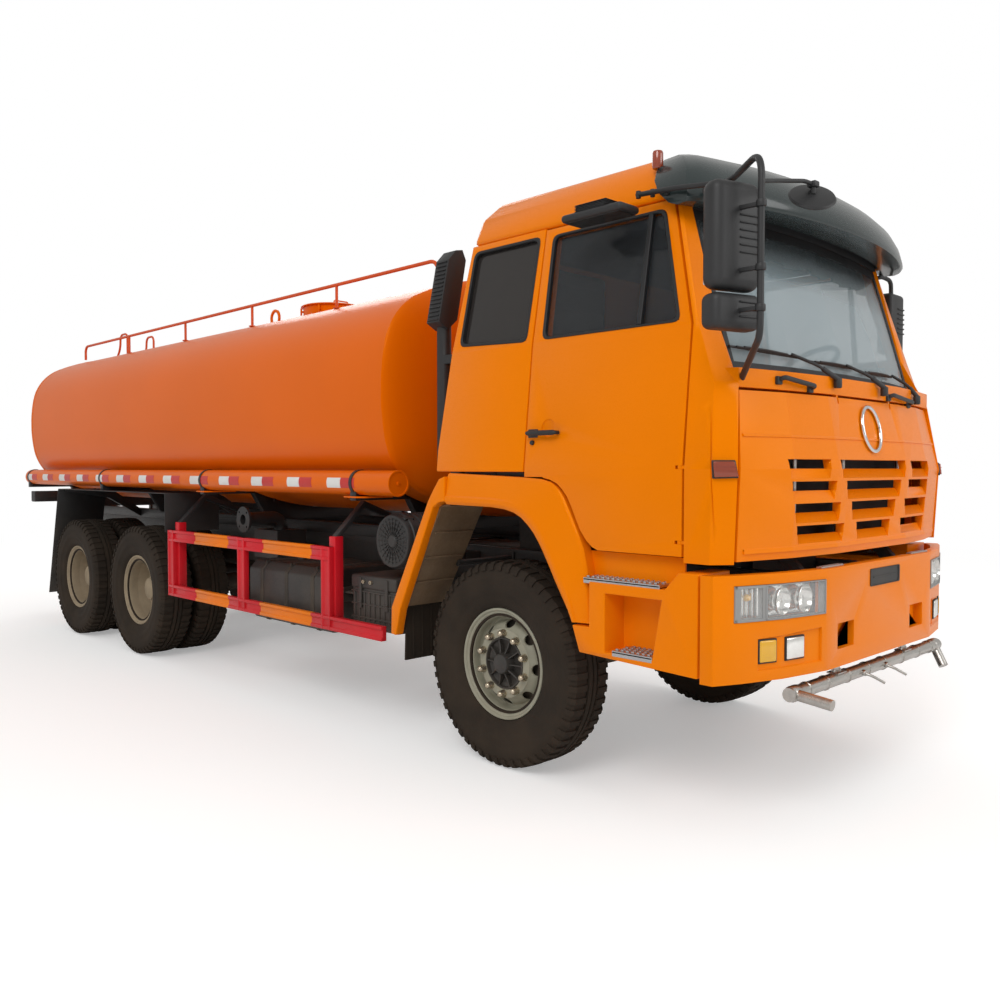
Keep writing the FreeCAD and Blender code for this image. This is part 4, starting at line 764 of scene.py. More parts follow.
def manhole():
    top = TANK_CENTRE + TANK_HALF_HEIGHT
    centre = at(MANHOLE, 0, 0)
    neck = turned([(top - 0.06, 0.244), (top + 0.09, 0.244), (top + 0.09, 0.25), (top + 0.004, 0.25),
                   (top - 0.004, 0.262), (top - 0.06, 0.262)], centre, "z", 64)
    hinge_x = MANHOLE - 0.29
    ears = [crate((hinge_x - 0.018, s * 0.062, top - 0.02), (hinge_x + 0.012, s * 0.078, top + 0.124), 0.003)
            for s in (1, -1)]
    clamp = joined([crate((MANHOLE - 0.012, 0.24, top + 0.045), (MANHOLE + 0.012, 0.275, top + 0.06), 0.002),
                    rod(at(MANHOLE, 0.268, top + 0.052), 0.008, 0.03, "z", 0.001, 12)])
    clamps = around(clamp, 6, centre, "z", math.radians(30))
    hoops = []
    for s in (1, -1):
        middle = at(RINGS, s * 0.33, top - 0.027 + 0.045)
        hoops.append(turned([(-0.007, 0.052), (0.007, 0.052), (0.01, 0.058), (0.01, 0.069), (0.007, 0.075),
                             (-0.007, 0.075), (-0.01, 0.069), (-0.01, 0.058)], middle, "y", 32))
        hoops.append(block(middle + Vector((-0.09, -0.012, -0.062)), middle + Vector((0.09, 0.012, -0.035)),
                           0.003))
    done([neck, clamps] + ears + hoops, "tank_manhole_neck", "chassis", tank_orange)
    low = top + 0.0903
    lid = turned([(low, 0), (low, 0.262), (low - 0.0001, 0.27), (low + 0.004, 0.272), (low + 0.012, 0.262),
                  (low + 0.016, 0.225), (low + 0.023, 0.19), (low + 0.024, 0)], centre, "z", 64, closed=False)
    strap = crate((hinge_x - 0.012, -0.05, low + 0.006), (MANHOLE, 0.05, low + 0.03), 0.003)
    pin = rod(at(hinge_x, 0, top + 0.108), 0.008, 0.084, "y", 0.001, 16)
    grip = pipe([(MANHOLE + 0.12, y, low + rise)
                 for y, rise in ((-0.07, 0.02), (-0.07, 0.05), (0.07, 0.05), (0.07, 0.02))], 0.006, 0.02)
    done([lid, strap, pin, grip], "manhole_lid_detail", "manhole_lid", tank_orange,
         replaces=["manhole_lid"])


RAIL_SIDE, LADDER_HALF = 0.65, 0.155


def handrails():
    top = TANK_CENTRE + TANK_HALF_HEIGHT + 0.065
    low = top - 0.15
    pieces = [pipe([(-0.985, RAIL_SIDE, low - 0.02), (-0.985, RAIL_SIDE, top), (-6.98, RAIL_SIDE, top),
                    (-6.98, RAIL_SIDE, low + 0.005)], 0.013, 0.11)]
    for x in (-2.13, -3.35, -4.56, -5.81):
        pieces.append(pipe([(x, RAIL_SIDE, low - 0.028), (x, RAIL_SIDE, top)], 0.011))
        pieces.append(rod(at(x, RAIL_SIDE, 2.786), 0.028, 0.004, "z", 0.001, 20))
    back, high, y = -7.46, TANK_CENTRE + TANK_HALF_HEIGHT, LADDER_HALF
    pieces.append(pipe([(back, y, 1.45), (back, y, high - 0.11), (-7.25, y, high + 0.11),
                        (-7.235, y, high + 0.27), (-7.045, y, high + 0.27), (-7.045, y, high - 0.02)],
                       0.012, 0.06))
    pieces += [crate((back - 0.005, y - 0.008, z), (-7.352, y + 0.008, z + 0.04), 0.002) for z in (1.75, 2.4)]
    pieces += [pipe([(back, 0, 1.51 + 0.29 * n), (back, y, 1.51 + 0.29 * n)], 0.011) for n in range(5)]
    done(both(pieces), "tank_handrail_tubes", "chassis", rail_orange, replaces=["tank_handrails"])


TUBE_FRONT, TUBE_REAR, TUBE_SIDE, TUBE_HEIGHT = -0.796, -7.266, 1.13, 1.512


# a tape's length, the step from a white one to its red one, and from that to the next white one
TAPE, TO_RED, TO_WHITE = 0.148, 0.15, 0.33


def hose_tubes():
    half = (TUBE_FRONT - TUBE_REAR) / 2
    centre = at((TUBE_FRONT + TUBE_REAR) / 2, TUBE_SIDE, TUBE_HEIGHT)
    body = turned([(-half, 0), (-half, 0.074), (-half + 0.004, 0.0785), (half - 0.03, 0.0785),
                   (half - 0.028, 0.08),
                   (half - 0.002, 0.08), (half, 0.078), (half, 0.07), (half - 0.004, 0.068),
                   (half - 0.004, 0)],
                  centre, "x", 40, closed=False)
    latch = rod(at(TUBE_FRONT - 0.001, TUBE_SIDE, TUBE_HEIGHT), 0.012, 0.004, "x", 0.001, 16)
    done(both([body, latch]), "hose_tube_shells", "chassis", tank_orange, replaces=["hose_tubes"])

    turns = [math.radians(a) for a in range(-24, 25, 6)]
    arc = [(a, 0.0796) for a in turns] + [(a, 0.078) for a in reversed(turns)]
    tapes = [[], []]
    x, number = TUBE_REAR + 0.06, 0
    while x < TUBE_FRONT - 0.3:
        tapes[number % 2].append(slab([at(x, TUBE_SIDE + math.cos(a) * r, TUBE_HEIGHT + math.sin(a) * r)
                                       for a, r in arc], (TAPE, 0, 0)))
        x += TO_WHITE if number % 2 else TO_RED
        number += 1
    done(both(tapes[0]), "tape_white", "chassis", white_reflector)
    done(both(tapes[1]), "tape_red", "chassis", red_reflector)

    straps = []
    for x in (-1.185, -3.196, -5.2, -7.18):
        straps.append(turned([(-0.014, 0.0788), (0.014, 0.0788), (0.014, 0.084), (-0.014, 0.084)],
                             at(x, TUBE_SIDE, TUBE_HEIGHT), "x", 40))
        straps.append(crate((x - 0.02, TUBE_SIDE + 0.02, TUBE_HEIGHT - 0.105),
                            (x + 0.02, TUBE_SIDE + 0.05, TUBE_HEIGHT - 0.078), 0.003))
    done(both(straps), "tube_straps", "chassis", black_paint)


# ------------------------------------------------------------ cab surfaces
def between(value, rows):
    """Straight-line reading of (place, value) rows."""
    for (first, low), (last, high) in zip(rows, rows[1:]):
        if value <= last:
            share = min(1.0, max(0.0, (value - first) / (last - first)))
            return low + (high - low) * share
    return rows[-1][1]


# height, then (distance from the middle, x) of the grille panel's face
FLAP_FACE = [(1.2, [(0.4, 1.6), (0.76, 1.56), (1.095, 1.485)]),
             (1.6, [(0.4, 1.615), (0.76, 1.58), (1.105, 1.508)]),
             (1.945, [(0.4, 1.55), (0.74, 1.515), (1.03, 1.452)])]
SCREEN_FACE = [(2.04, [(0.0, 1.462), (0.5, 1.44), (0.975, 1.378)]),
               (2.802, [(0.0, 1.232), (0.5, 1.205), (0.97, 1.152)])]
BUMPER_FACE = [(0.6, 1.66), (0.9, 1.6), (1.12, 1.522), (1.245, 1.465)]
# height, half width of the cab's side
SIDE_FACE = [(1.19, 1.205), (1.6, 1.205), (1.97, 1.17), (2.24, 1.14), (2.845, 1.033)]


def on_face(table, y, z, out=0.0):
    """A place on the grille panel or the windscreen, moved forward."""
    return at(between(z, [(level, between(abs(y), row)) for level, row in table]) + out, y, z)


def on_flap(y, z, out):
    return on_face(FLAP_FACE, y, z, out)


def on_screen(y, z, out):
    return on_face(SCREEN_FACE, y, z, out)


def on_side(x, z, out=0.0, side=-1):
    """A place on the cab's side, moved outward."""
    return at(x, side * (between(z, SIDE_FACE) + out), z)


def rounded(points, radius, steps=4):
    """A closed outline in space with its corners turned into arcs."""
    result = []
    count = len(points)
    for number in range(count):
        corner = Vector(points[number])
        enter, leave = rounding(Vector(points[number - 1]), corner, Vector(points[(number + 1) % count]),
                                radius)
        for step in range(steps + 1):
            t = step / steps
            result.append(enter * (1 - t) ** 2 + corner * 2 * t * (1 - t) + leave * t ** 2)
    return result


def frame_of(points, width, out, depth, edge=0.002):
    """A flat closed border of a width round an outline, standing out by depth."""
    middle = sum((Vector(p) for p in points), Vector()) / len(points)
    inner = [Vector(p) + (middle - Vector(p)).normalized() * width for p in points]
    push = Vector(out).normalized() * depth
    piece = stack([points, inner, [p + push for p in inner], [Vector(p) + push for p in points], points],
                  capped=False)
    return bevelled(piece, edge, 1)


# ------------------------------------------------------------ front of the cab
# height, from, to, and half width of the middle column
SLOT_ROWS = [(1.623, 0.467, 0.798, 0.376), (1.522, 0.422, 0.773, 0.315), (1.421, 0.377, 0.748, 0.253),
             (1.32, 0.332, 0.723, 0.192)]


def louvre(y_from, y_to, z):
    """The sloping hollow under one slot."""
    section = ((0.03, 0.0225, -0.4), (-0.03, 0.0225, -0.4), (-0.03, -0.015, 0.4), (0.0, -0.066, 1.0),
               (0.03, -0.066, 1.0))
    return stack([[on_flap(y + inset * slide, z + height, out) for out, height, slide in section]
                  for y, inset in ((y_from, 0.012), (y_to, -0.012))])


def flat(z_low, z_high, back, front):
    """A bar's section of (height, out): under it, then over it."""
    return [(z_low, back), (z_low, front), (z_high, front), (z_high, back)]


def upright(z_low, z_high, near, far):
    """A sheet's section of (height, out): up one face and down the other."""
    return [(z_low, near), (z_high, near), (z_high, far), (z_low, far)]


def grille_panel():
    panel = softened("front_flap", 0.006)
    hollows = [louvre(low, high, z) for z, near, far, half in SLOT_ROWS
               for low, high in ((-half, half), (near, far), (-far, -near))]
    cut_away(panel, joined(hollows))
    done(panel, "grille_panel", "front_flap", orange, 30, replaces=["front_flap"])

    places = [-1.06, -0.76, -0.4, 0.4, 0.76, 1.06]
    creases = []
    for z, height, out in ((1.232, 0.018, 0.008), (1.246, 0.006, 0.004)):
        creases += strips(on_flap, places, [(z, -0.004), (z, out), (z + height, out * 0.6),
                                            (z + height + 0.008, -0.004)])
    creases += strips(on_flap, places, [(1.742, -0.004), (1.742, 0.0045), (1.747, 0.004), (1.76, -0.004)])
    done(creases, "grille_creases", "front_flap", orange, 30)

    oval = [on_flap(0.098 * math.cos(a), 1.8 + 0.112 * math.sin(a), 0.01)
            for a in [2 * math.pi * n / 40 for n in range(40)]]
    done(tube(oval + oval[:2], 0.01, 0.005), "plain_oval_ring", "front_flap", chrome)
    done(strips(on_flap, (-0.83, 0.0, 0.83), flat(1.27, 1.67, -0.12, -0.126)), "radiator_screen",
         "front_flap",
         grille_mesh)
    pipes = [tube([on_flap(y, 1.28, -0.085), on_flap(y, 1.66, -0.085)], 0.012)
             for y in (-0.72, -0.62, -0.22, -0.17, 0.52)]
    done(pipes, "grille_pipes", "front_flap", stainless)


# back from the rim, share of the radius
CUP = [(0.0, 1), (-0.02, 0.9), (-0.04, 0.6), (-0.048, 0.25), (-0.05, 0.25), (-0.042, 0.62), (-0.021, 0.93),
       (-0.001, 1.04)]
# from, to, lower and upper edge of each bar round the headlamp
BEZEL = [(0.62, 0.99, 0.9455, 0.951), (0.62, 0.99, 1.095, 1.1005), (0.99, 1.148, 0.9455, 0.957),
         (0.99, 1.148, 1.089, 1.1005), (0.6185, 0.625, 0.9455, 1.1005), (0.984, 0.994, 0.9455, 1.1005),
         (1.138, 1.1485, 0.9455, 1.1005)]


def front_lamps():
    for side, name in ((-1, "right"), (1, "left")):
        def spot(y, z, out):
            return at(between(y, BUMPER_FACE) + out, side * y, z)

        bowl = strips(spot, (0.64, 0.9, 1.15), upright(0.948, 1.098, -0.06, -0.065))
        cups = []
        for y, radius in ((0.735, 0.062), (0.88, 0.06)):
            cups.append(turned([(a, radius * share) for a, share in CUP], spot(y, 1.022, -0.012), "x", 32))
            cups.append(rod(spot(y, 1.022, -0.04), 0.014, 0.014, "x", 0.004, 16))
        ribs = [block(spot(y, 0.958, -0.03), spot(y + 0.004, 1.088, -0.046), 0.001, 1)
                for y in (1.005, 1.03, 1.055, 1.08, 1.105, 1.13)]
        done(bowl + cups + ribs, "headlamp_bowls_" + name, "chassis", reflector)
        bulb = turned([(0, 0), (0, 0.017), (0.012, 0.016), (0.022, 0.01), (0.026, 0)],
                      spot(1.055, 1.045, -0.04),
                      "x", 16, closed=False)
        done(bulb, "turn_bulb_" + name, "chassis", lens_amber)
        done(strips(spot, (0.626, 0.9, 1.12, 1.146), upright(0.948, 1.098, -0.004, 0.001)),
             "headlamp_cover_" + name, "chassis", lens_clear, replaces=["front_lamps"])
        bezel = []
        for low, high, z_low, z_high in BEZEL:
            ys = sorted({y for y in (low, 0.9, 1.12, high) if low <= y <= high})
            bezel += strips(spot, ys, flat(z_low, z_high, -0.03, 0.005))
        for ys in ((0.996, 1.01), (1.122, 1.146)):
            bezel += strips(spot, ys, flat(0.952, 1.095, -0.02, 0.004))
        done(bezel, "headlamp_bezel_" + name, "chassis", grey_bezel)

        done(strips(spot, (0.744, 0.9, 1.032), flat(0.73, 0.872, -0.02, -0.01)), "fog_lamp_backs_" + name,
             "chassis", orange)
        for low, high, face, label in ((0.931, 1.02, lens_amber, "yellow"),
                                       (0.757, 0.872, reflector, "white")):
            border = strips(spot, (low - 0.004, high + 0.004), flat(0.757, 0.864, -0.014, -0.002))[0]
            done(bevelled(border, 0.004), "fog_lamp_rim_%s_%s" % (label, name), "chassis", trim_rubber)
            pane = strips(spot, (low + 0.002, high - 0.002), flat(0.763, 0.858, -0.01, 0.003))[0]
            done(bevelled(pane, 0.008, 3), "fog_lamp_%s_%s" % (label, name), "chassis", face)


# ------------------------------------------------------------ doors and sides of the cab
DOOR_CURVE = [(0.3, 1.1), (0.3, 1.5595), (0.447, 1.557), (0.5, 1.547), (0.546, 1.529), (0.582, 1.5),
              (0.612, 1.467), (0.642, 1.416), (0.673, 1.354), (0.699, 1.304), (0.736, 1.258), (0.773, 1.228),
              (0.81, 1.214), (0.85, 1.1)]
DOOR_WINDOW = [(0.384, 2.254), (1.222, 2.254), (1.074, 2.8), (0.374, 2.8)]
QUARTER_WINDOW = [(-0.243, 2.276), (0.277, 2.254), (0.288, 2.811), (-0.216, 2.811)]


def through(points, side, low, high):
    """A prism across the truck from an outline in side view."""
    return slab([at(x, side * low, z) for x, z in points], Vector((0, side * (high - low), 0)))


def seal(outline, side, radius=0.042, width=0.021):
    edge = rounded([on_side(x, z, -0.02, side) for x, z in outline], radius)
    return frame_of(edge, width, (0, side, 0), 0.026, 0.004)


def doors():
    for name, side in SIDES:
        body = "door_" + name
        skin = softened(body, 0)
        cut_away(skin, through(DOOR_CURVE, side, 1.0, 1.4))
        cut_away(skin, rod(on_side(0.47, 1.805, 0.002, side), 0.046, 0.014, "y", 0.01, 32))
        bevelled(skin, 0.005, 2, 40)
        done(skin, "door_skin_" + name, body, orange, 30, replaces=[body])
        done(seal(DOOR_WINDOW, side), "door_window_seal_" + name, body, trim_rubber)
        bar = stack([[on_side(x, z, out, side) for x, out in ((0.976, -0.02), (0.976, 0.001), (0.98, 0.004),
                                                              (0.998, 0.004), (1.002, 0.001), (1.002, -0.02))]
                     for z in (2.268, 2.792)])
        done(bar, "door_window_bar_" + name, body, trim_rubber)
        lever = tube([on_side(0.352, 1.78, -0.004, side), on_side(0.352, 1.78, 0.034, side),
                      on_side(0.545, 1.78, 0.034, side), on_side(0.545, 1.78, 0.006, side)], 0.01, 0.014)
        blade = block(on_side(0.362, 1.767, 0.026, side), on_side(0.54, 1.793, 0.039, side), 0.004)
        base = block(on_side(0.34, 1.758, -0.004, side), on_side(0.405, 1.801, 0.008, side), 0.005)
        lock = rod(on_side(0.372, 1.733, 0.004, side), 0.012, 0.008, "y", 0.002, 20)
        done([lever, blade, base, lock], "door_handle_" + name, body, black_plastic)
        lining = through([(0.4, 1.6), (0.5, 1.57), (0.79, 1.26), (1.2, 1.26), (1.2, 2.22), (0.4, 2.22)],
                         side, 1.066, 1.074)
        done(bevelled(lining, 0.003, 1), "door_lining_" + name, body, cab_lining)
    done(softened("cab_sides", 0.005), "cab_side_panels", "cab", orange, 30, replaces=["cab_sides"])
    pieces = [seal(QUARTER_WINDOW, side) for _, side in SIDES]
    done(pieces, "quarter_window_seals", "cab", trim_rubber)


def corner_posts():
    frame_piece = softened("cab_front_frame", 0.008)
    grooves = []
    for _, side in SIDES:
        rows = []
        for z, x, half in ((1.195, 1.44, 1.205), (1.6, 1.424, 1.205), (1.965, 1.392, 1.171)):
            rows.append([at(x - 0.003, side * (half - 0.014), z), at(x + 0.003, side * (half - 0.014), z),
                         at(x + 0.003, side * (half + 0.03), z), at(x - 0.003, side * (half + 0.03), z)])
        grooves.append(stack(rows))
    cut_away(frame_piece, *grooves)
    done(frame_piece, "corner_posts_and_cowl", "cab", orange, 30, replaces=["cab_front_frame"])

    def corner(share, z, out, side):
        return at(1.43 + 0.078 * share + 0.7 * out, side * (1.205 - 0.077 * share + 0.71 * out), z)

    lenses, backs = [], []
    for _, side in SIDES:
        shape = [(0.02, 1.632), (0.84, 1.632), (0.98, 1.568), (0.06, 1.565)]
        for grow, low, high, pieces in ((0.0, 0.004, 0.02, lenses), (0.05, -0.004, 0.008, backs)):
            rise = 0.006 if grow else 0
            points = [corner(share + (grow if share > 0.5 else -grow), z + (rise if z > 1.6 else -rise), low,
                             side)
                      for share, z in shape]
            pieces.append(slab(points, Vector((0.7, side * 0.71, 0)) * (high - low), 0.004))
        for z in (1.59, 1.608):
            lenses.append(slab([corner(share, level, 0.018, side) for share, level in
                                ((0.08, z), (0.9, z), (0.9, z + 0.003), (0.08, z + 0.003))],
                               Vector((0.7, side * 0.71, 0)) * 0.003))
    done(lenses, "side_markers", "cab", marker_red)
    done(backs, "side_marker_bases", "cab", black_plastic)


# outer and inner line of the wheel arch
ARCH = [((-0.25, 1.577), (-0.25, 1.405)), ((0.15, 1.563), (0.1, 1.4)), ((0.34, 1.556), (0.2, 1.392)),
        ((0.44, 1.55), (0.27, 1.377)), ((0.507, 1.535), (0.325, 1.352)), ((0.545, 1.512), (0.37, 1.318)),
        ((0.575, 1.483), (0.41, 1.28)), ((0.605, 1.44), (0.445, 1.235)), ((0.635, 1.387), (0.475, 1.19)),
        ((0.68, 1.303), (0.52, 1.115)), ((0.72, 1.22), (0.56, 1.045)), ((0.745, 1.12), (0.6, 0.98)),
        ((0.76, 1.0), (0.64, 0.915)), ((0.772, 0.862), (0.668, 0.862))]
# share from the outer to the inner line, and distance from the middle
FLARE_SECTION = [(0.0, 1.15), (0.0, 1.204), (0.04, 1.213), (0.1, 1.218), (0.7, 1.232), (0.76, 1.241),
                 (0.86, 1.242), (0.93, 1.238), (1.0, 1.228), (1.0, 1.15)]


def arches():
    flares, liners = [], []
    for _, side in SIDES:
        rows = []
        for outer, inner in ARCH:
            rows.append([at(outer[0] + (inner[0] - outer[0]) * share, side * y,
                            outer[1] + (inner[1] - outer[1]) * share) for share, y in FLARE_SECTION])
        flares.append(stack(rows))
        shell = []
        for outer, inner in ARCH:
            step = Vector((inner[0] - outer[0], 0, inner[1] - outer[1])).normalized()
            near = at(inner[0], 0, inner[1]) - step * 0.02
            far = near - step * 0.012
            shell.append([near + Vector((0, side * 0.86, 0)), near + Vector((0, side * 1.16, 0)),
                          far + Vector((0, side * 1.16, 0)), far + Vector((0, side * 0.86, 0))])
        liners.append(stack(shell))
    done(flares, "wheel_arch_flares", "cab", orange, 32, replaces=["wheel_flares"])
    hangers = [crate((x, side * 1.0, 1.44), (x + 0.04, side * 1.15, 1.62), 0.004)
               for _, side in SIDES for x in (-0.235, 0.02, 0.255)]
    done(liners + hangers, "wheel_arch_liners", "cab", black_plastic)


def steps():
    treads = []
    for x_low, x_high, y_in, y_out, z in ((0.745, 1.185, 1.085, 1.236, 1.078),
                                          (0.925, 1.15, 1.085, 1.243, 0.752)):
        base = [crate((x_low, -y_out, z - 0.006), (x_high, -y_in, z + 0.008), 0.003)]
        base.append(crate((x_low, -y_out, z - 0.02), (x_high, -y_out + 0.006, z + 0.004), 0.002, 1))
        count = int((x_high - x_low) / 0.03)
        for row in range(4):
            for number in range(count):
                x = x_low + 0.018 + number * 0.03 + 0.015 * (row % 2)
                if x + 0.012 < x_high:
                    y = -y_out + 0.012 + row * 0.036
                    base.append(crate((x - 0.008, y, z + 0.006), (x + 0.008, y + 0.014, z + 0.016), 0.003, 1))
        treads.append(joined(base))
    done(both(treads), "step_treads", "chassis", aluminium)
    riser = [crate((0.69, -1.15, 1.025), (1.262, -1.136, 1.207), 0.003)]
    done(both(riser), "step_risers", "cab", orange)


def windscreen_trim():
    columns = [-0.965, -0.75, -0.5, -0.25, 0.0, 0.25, 0.5, 0.75, 0.965]
    bands = strips(on_screen, columns, flat(2.036, 2.082, 0.0005, 0.0045))
    bands += strips(on_screen, columns, flat(2.745, 2.8, 0.0005, 0.004))
    for side in (-1, 1):
        bands.append(stack([[on_screen(side * (half + inset), z, out)
                             for inset, out in ((-0.026, 0.0), (-0.026, 0.005), (0.006, 0.006), (0.006, 0.0))]
                            for z, half in ((2.04, 0.972), (2.4, 0.972), (2.8, 0.968))]))
    done(bands, "windscreen_border", "cab", trim_rubber)


def wipers():
    # blade ends, the arm's end across the truck, base on the cowl
    table = [((1.346, -0.97, 2.148), (1.413, -0.476, 2.132), -0.546, (1.555, -0.34, 2.002)),
             ((1.42, -0.366, 2.123), (1.433, 0.117, 2.12), -0.024, (1.56, 0.176, 1.992)),
             ((1.433, 0.18, 2.11), (1.397, 0.651, 2.117), 0.597, (1.528, 0.683, 1.975))]
    ahead, lean, step = Vector((0.016, 0, 0)), Vector((0.012, 0, 0.004)), Vector((0.01, 0, 0.002))
    for number, (start, end, arm, base) in enumerate(table, start=1):
        share = (arm - start[1]) / (end[1] - start[1])
        start, end, foot = at(*start) + ahead, at(*end) + ahead, at(*base)
        high = start.lerp(end, share) + lean * 1.6
        parts = [tube([start, end], 0.006),
                 tube([start.lerp(end, 0.08) + step, start.lerp(end, 0.92) + step], 0.004),
                 tube([start.lerp(end, 0.18) + lean, start.lerp(end, 0.5) + lean * 1.6,
                       start.lerp(end, 0.82) + lean], 0.005, 0.05),
                 tube([high, foot.lerp(high, 0.5) + Vector((0.03, 0, 0.016)),
                       foot + Vector((0.022, 0, 0.02))],
                      0.008, 0.03),
                 rod(foot + Vector((0.016, 0, 0.008)), 0.019, 0.024, "z", 0.005, 20),
                 tube([foot + Vector((0.022, 0, 0.022)), foot.lerp(high, 0.4) + Vector((0.026, 0, 0.018))],
                      0.012, 0.02)]
        done(parts, "wiper_%d" % number, "cab", black_plastic)
    grips = []
    push = Vector((0.03, 0, 0.012))
    for start, end in (((1.506, -0.79, 1.998), (1.534, -0.551, 1.971)),
                       ((1.55, 0.28, 1.976), (1.53, 0.59, 1.953))):
        a, b = at(*start), at(*end)
        grips.append(tube([a, a + push, b + push, b], 0.011, 0.02))
        for foot, low, high in ((a, 0.02, 0.018), (b, 0.018, 0.02)):
            grips.append(block(foot - Vector((0.012, 0.022, low)), foot + Vector((0.012, 0.022, high)),
                               0.006))
    done(grips, "cowl_grips", "cab", black_plastic)


def mirrors():
    cases, glasses = [], []
    turn = Matrix.Rotation(math.radians(-18), 4, "Z")
    middle = at(1.55, -1.262, 0)
    for z_low, z_high, z_ribs, count, corner in ((2.325, 2.765, 2.47, 6, 0.045),
                                                 (2.165, 2.312, 2.212, 3, 0.034)):
        case = block((-0.055, -0.124, z_low), (0.052, 0.124, z_high), 0)
        bevelled(case, corner, 5, 30)
        ribs = [block((0.046, -0.002, z_ribs + 0.03 * n), (0.058, 0.112, z_ribs + 0.008 + 0.03 * n), 0.0035,
                      2)
                for n in range(count)]
        case = joined([case] + ribs)
        glass_piece = block((-0.06, -0.098, z_low + 0.026), (-0.052, 0.098, z_high - 0.026), 0.003, 1)
        for piece, pieces in ((case, cases), (glass_piece, glasses)):
            piece.matrix_world = Matrix.Translation(Vector((middle.x, middle.y, LIFT))) @ turn
            pieces.append(settle(piece))
    done(cases, "mirror_case_right", "cab", black_plastic, 40, replaces=["mirror_right"])
    done(glasses, "mirror_glass_right", "cab", chrome)
    arm = pipe([(1.3, -1.08, 2.822), (1.45, -1.105, 2.828), (1.64, -1.225, 2.862), (1.69, -1.275, 2.8),
                (1.69, -1.275, 2.13), (1.44, -1.0, 1.985)], 0.014, 0.045, 6)
    parts = [arm]
    for z in (2.24, 2.4, 2.65):
        parts.append(crate((1.59, -1.284, z - 0.009), (1.69, -1.266, z + 0.009), 0.004))
        parts.append(rod(at(1.69, -1.275, z), 0.021, 0.014, "z", 0.004, 20))
    parts.append(rod(at(1.448, -1.004, 1.99), 0.024, 0.016, "x", 0.005, 20))
    parts.append(pipe([(1.69, -1.268, 2.738), (1.7, -1.15, 2.762), (1.718, -0.98, 2.794),
                       (1.72, -0.91, 2.796)], 0.009, 0.02))
    parts.append(rod(at(1.72, -0.905, 2.78), 0.011, 0.026, "z", 0.003, 20))
    parts.append(crate((1.7, -0.925, 2.782), (1.74, -0.885, 2.808), 0.006))
    dish = turned([(2.724, 0.0), (2.726, 0.07), (2.733, 0.094), (2.74, 0.1), (2.748, 0.094), (2.755, 0.06),
                   (2.76, 0.0)], at(1.72, -0.905, 0), "z", 40, closed=False)
    hang = at(1.72, -0.905, 2.758)
    dish.matrix_world = (Matrix.Translation(hang) @ Matrix.Rotation(math.radians(45), 4,
                                                                    Vector((0.71, 0.7, 0)))
                         @ Matrix.Translation(-hang))
    settle(dish)
    done(parts + [dish], "mirror_arms_right", "cab", black_plastic, 40)

    kerb = [crate((0.64, -1.29, 2.764), (1.0, -1.14, 2.802), 0.018, 4),
            crate((0.72, -1.27, 2.796), (0.9, -1.15, 2.838), 0.016, 4),
            crate((0.76, -1.18, 2.812), (0.86, -1.088, 2.832), 0.005)]
    for number in range(5):
        kerb.append(crate((0.716, -1.274, 2.804 + 0.007 * number), (0.904, -1.146, 2.807 + 0.007 * number),
                          0.001, 1))
    done(kerb, "kerb_mirror", "door_right", black_plastic, 40)
    done(crate((0.658, -1.276, 2.761), (0.982, -1.154, 2.765), 0.0015, 1), "kerb_mirror_glass", "door_right",
         dark_glass)

    case = bevelled(crate((1.09, 1.188, 2.32), (1.19, 1.385, 2.7), 0), 0.03, 5, 30)
    ribs = [crate((1.184, 1.275, 2.45 + 0.03 * n), (1.196, 1.37, 2.46 + 0.03 * n), 0.004) for n in range(6)]
    hanger = pipe([(1.125, 1.035, 2.76), (1.15, 1.13, 2.79), (1.165, 1.225, 2.775), (1.165, 1.24, 2.6)],
                  0.013, 0.03)
    done([case, hanger] + ribs, "mirror_left_case", "door_left", black_plastic, 40, replaces=["mirror_left"])
    glass_piece = crate((1.087, 1.212, 2.346), (1.094, 1.36, 2.674), 0.0025, 1)
    done(glass_piece, "mirror_left_glass", "door_left", chrome)

    lamps = [rod(at(0.993, side * 1.0, 3.045), 0.026, 0.044, "z", 0.012, 24) for side in (-1, 1)]
    done(lamps, "roof_marker_lamps", "cab", marker_red)
    stalks = [pipe([(1.084, side * 1.0, 2.93), (1.02, side * 1.0, 3.0), (0.993, side * 1.0, 3.01)],
                   0.01, 0.02) for side in (-1, 1)]
    bars = [pipe([(0.951, -1.1, 2.872), (1.18, -1.14, 2.846), (1.46, -1.14, 2.812)], 0.012, 0.05)]
    bolts = [rod(at(x, -1.103, 2.871 - (x - 0.951) * 0.11), 0.012, 0.018, "z", 0.004, 12) for x in (0.96,
                                                                                                    1.04,
                                                                                                    1.12)]
    done(stalks + bars + bolts, "roof_lamp_brackets", "cab", black_plastic)


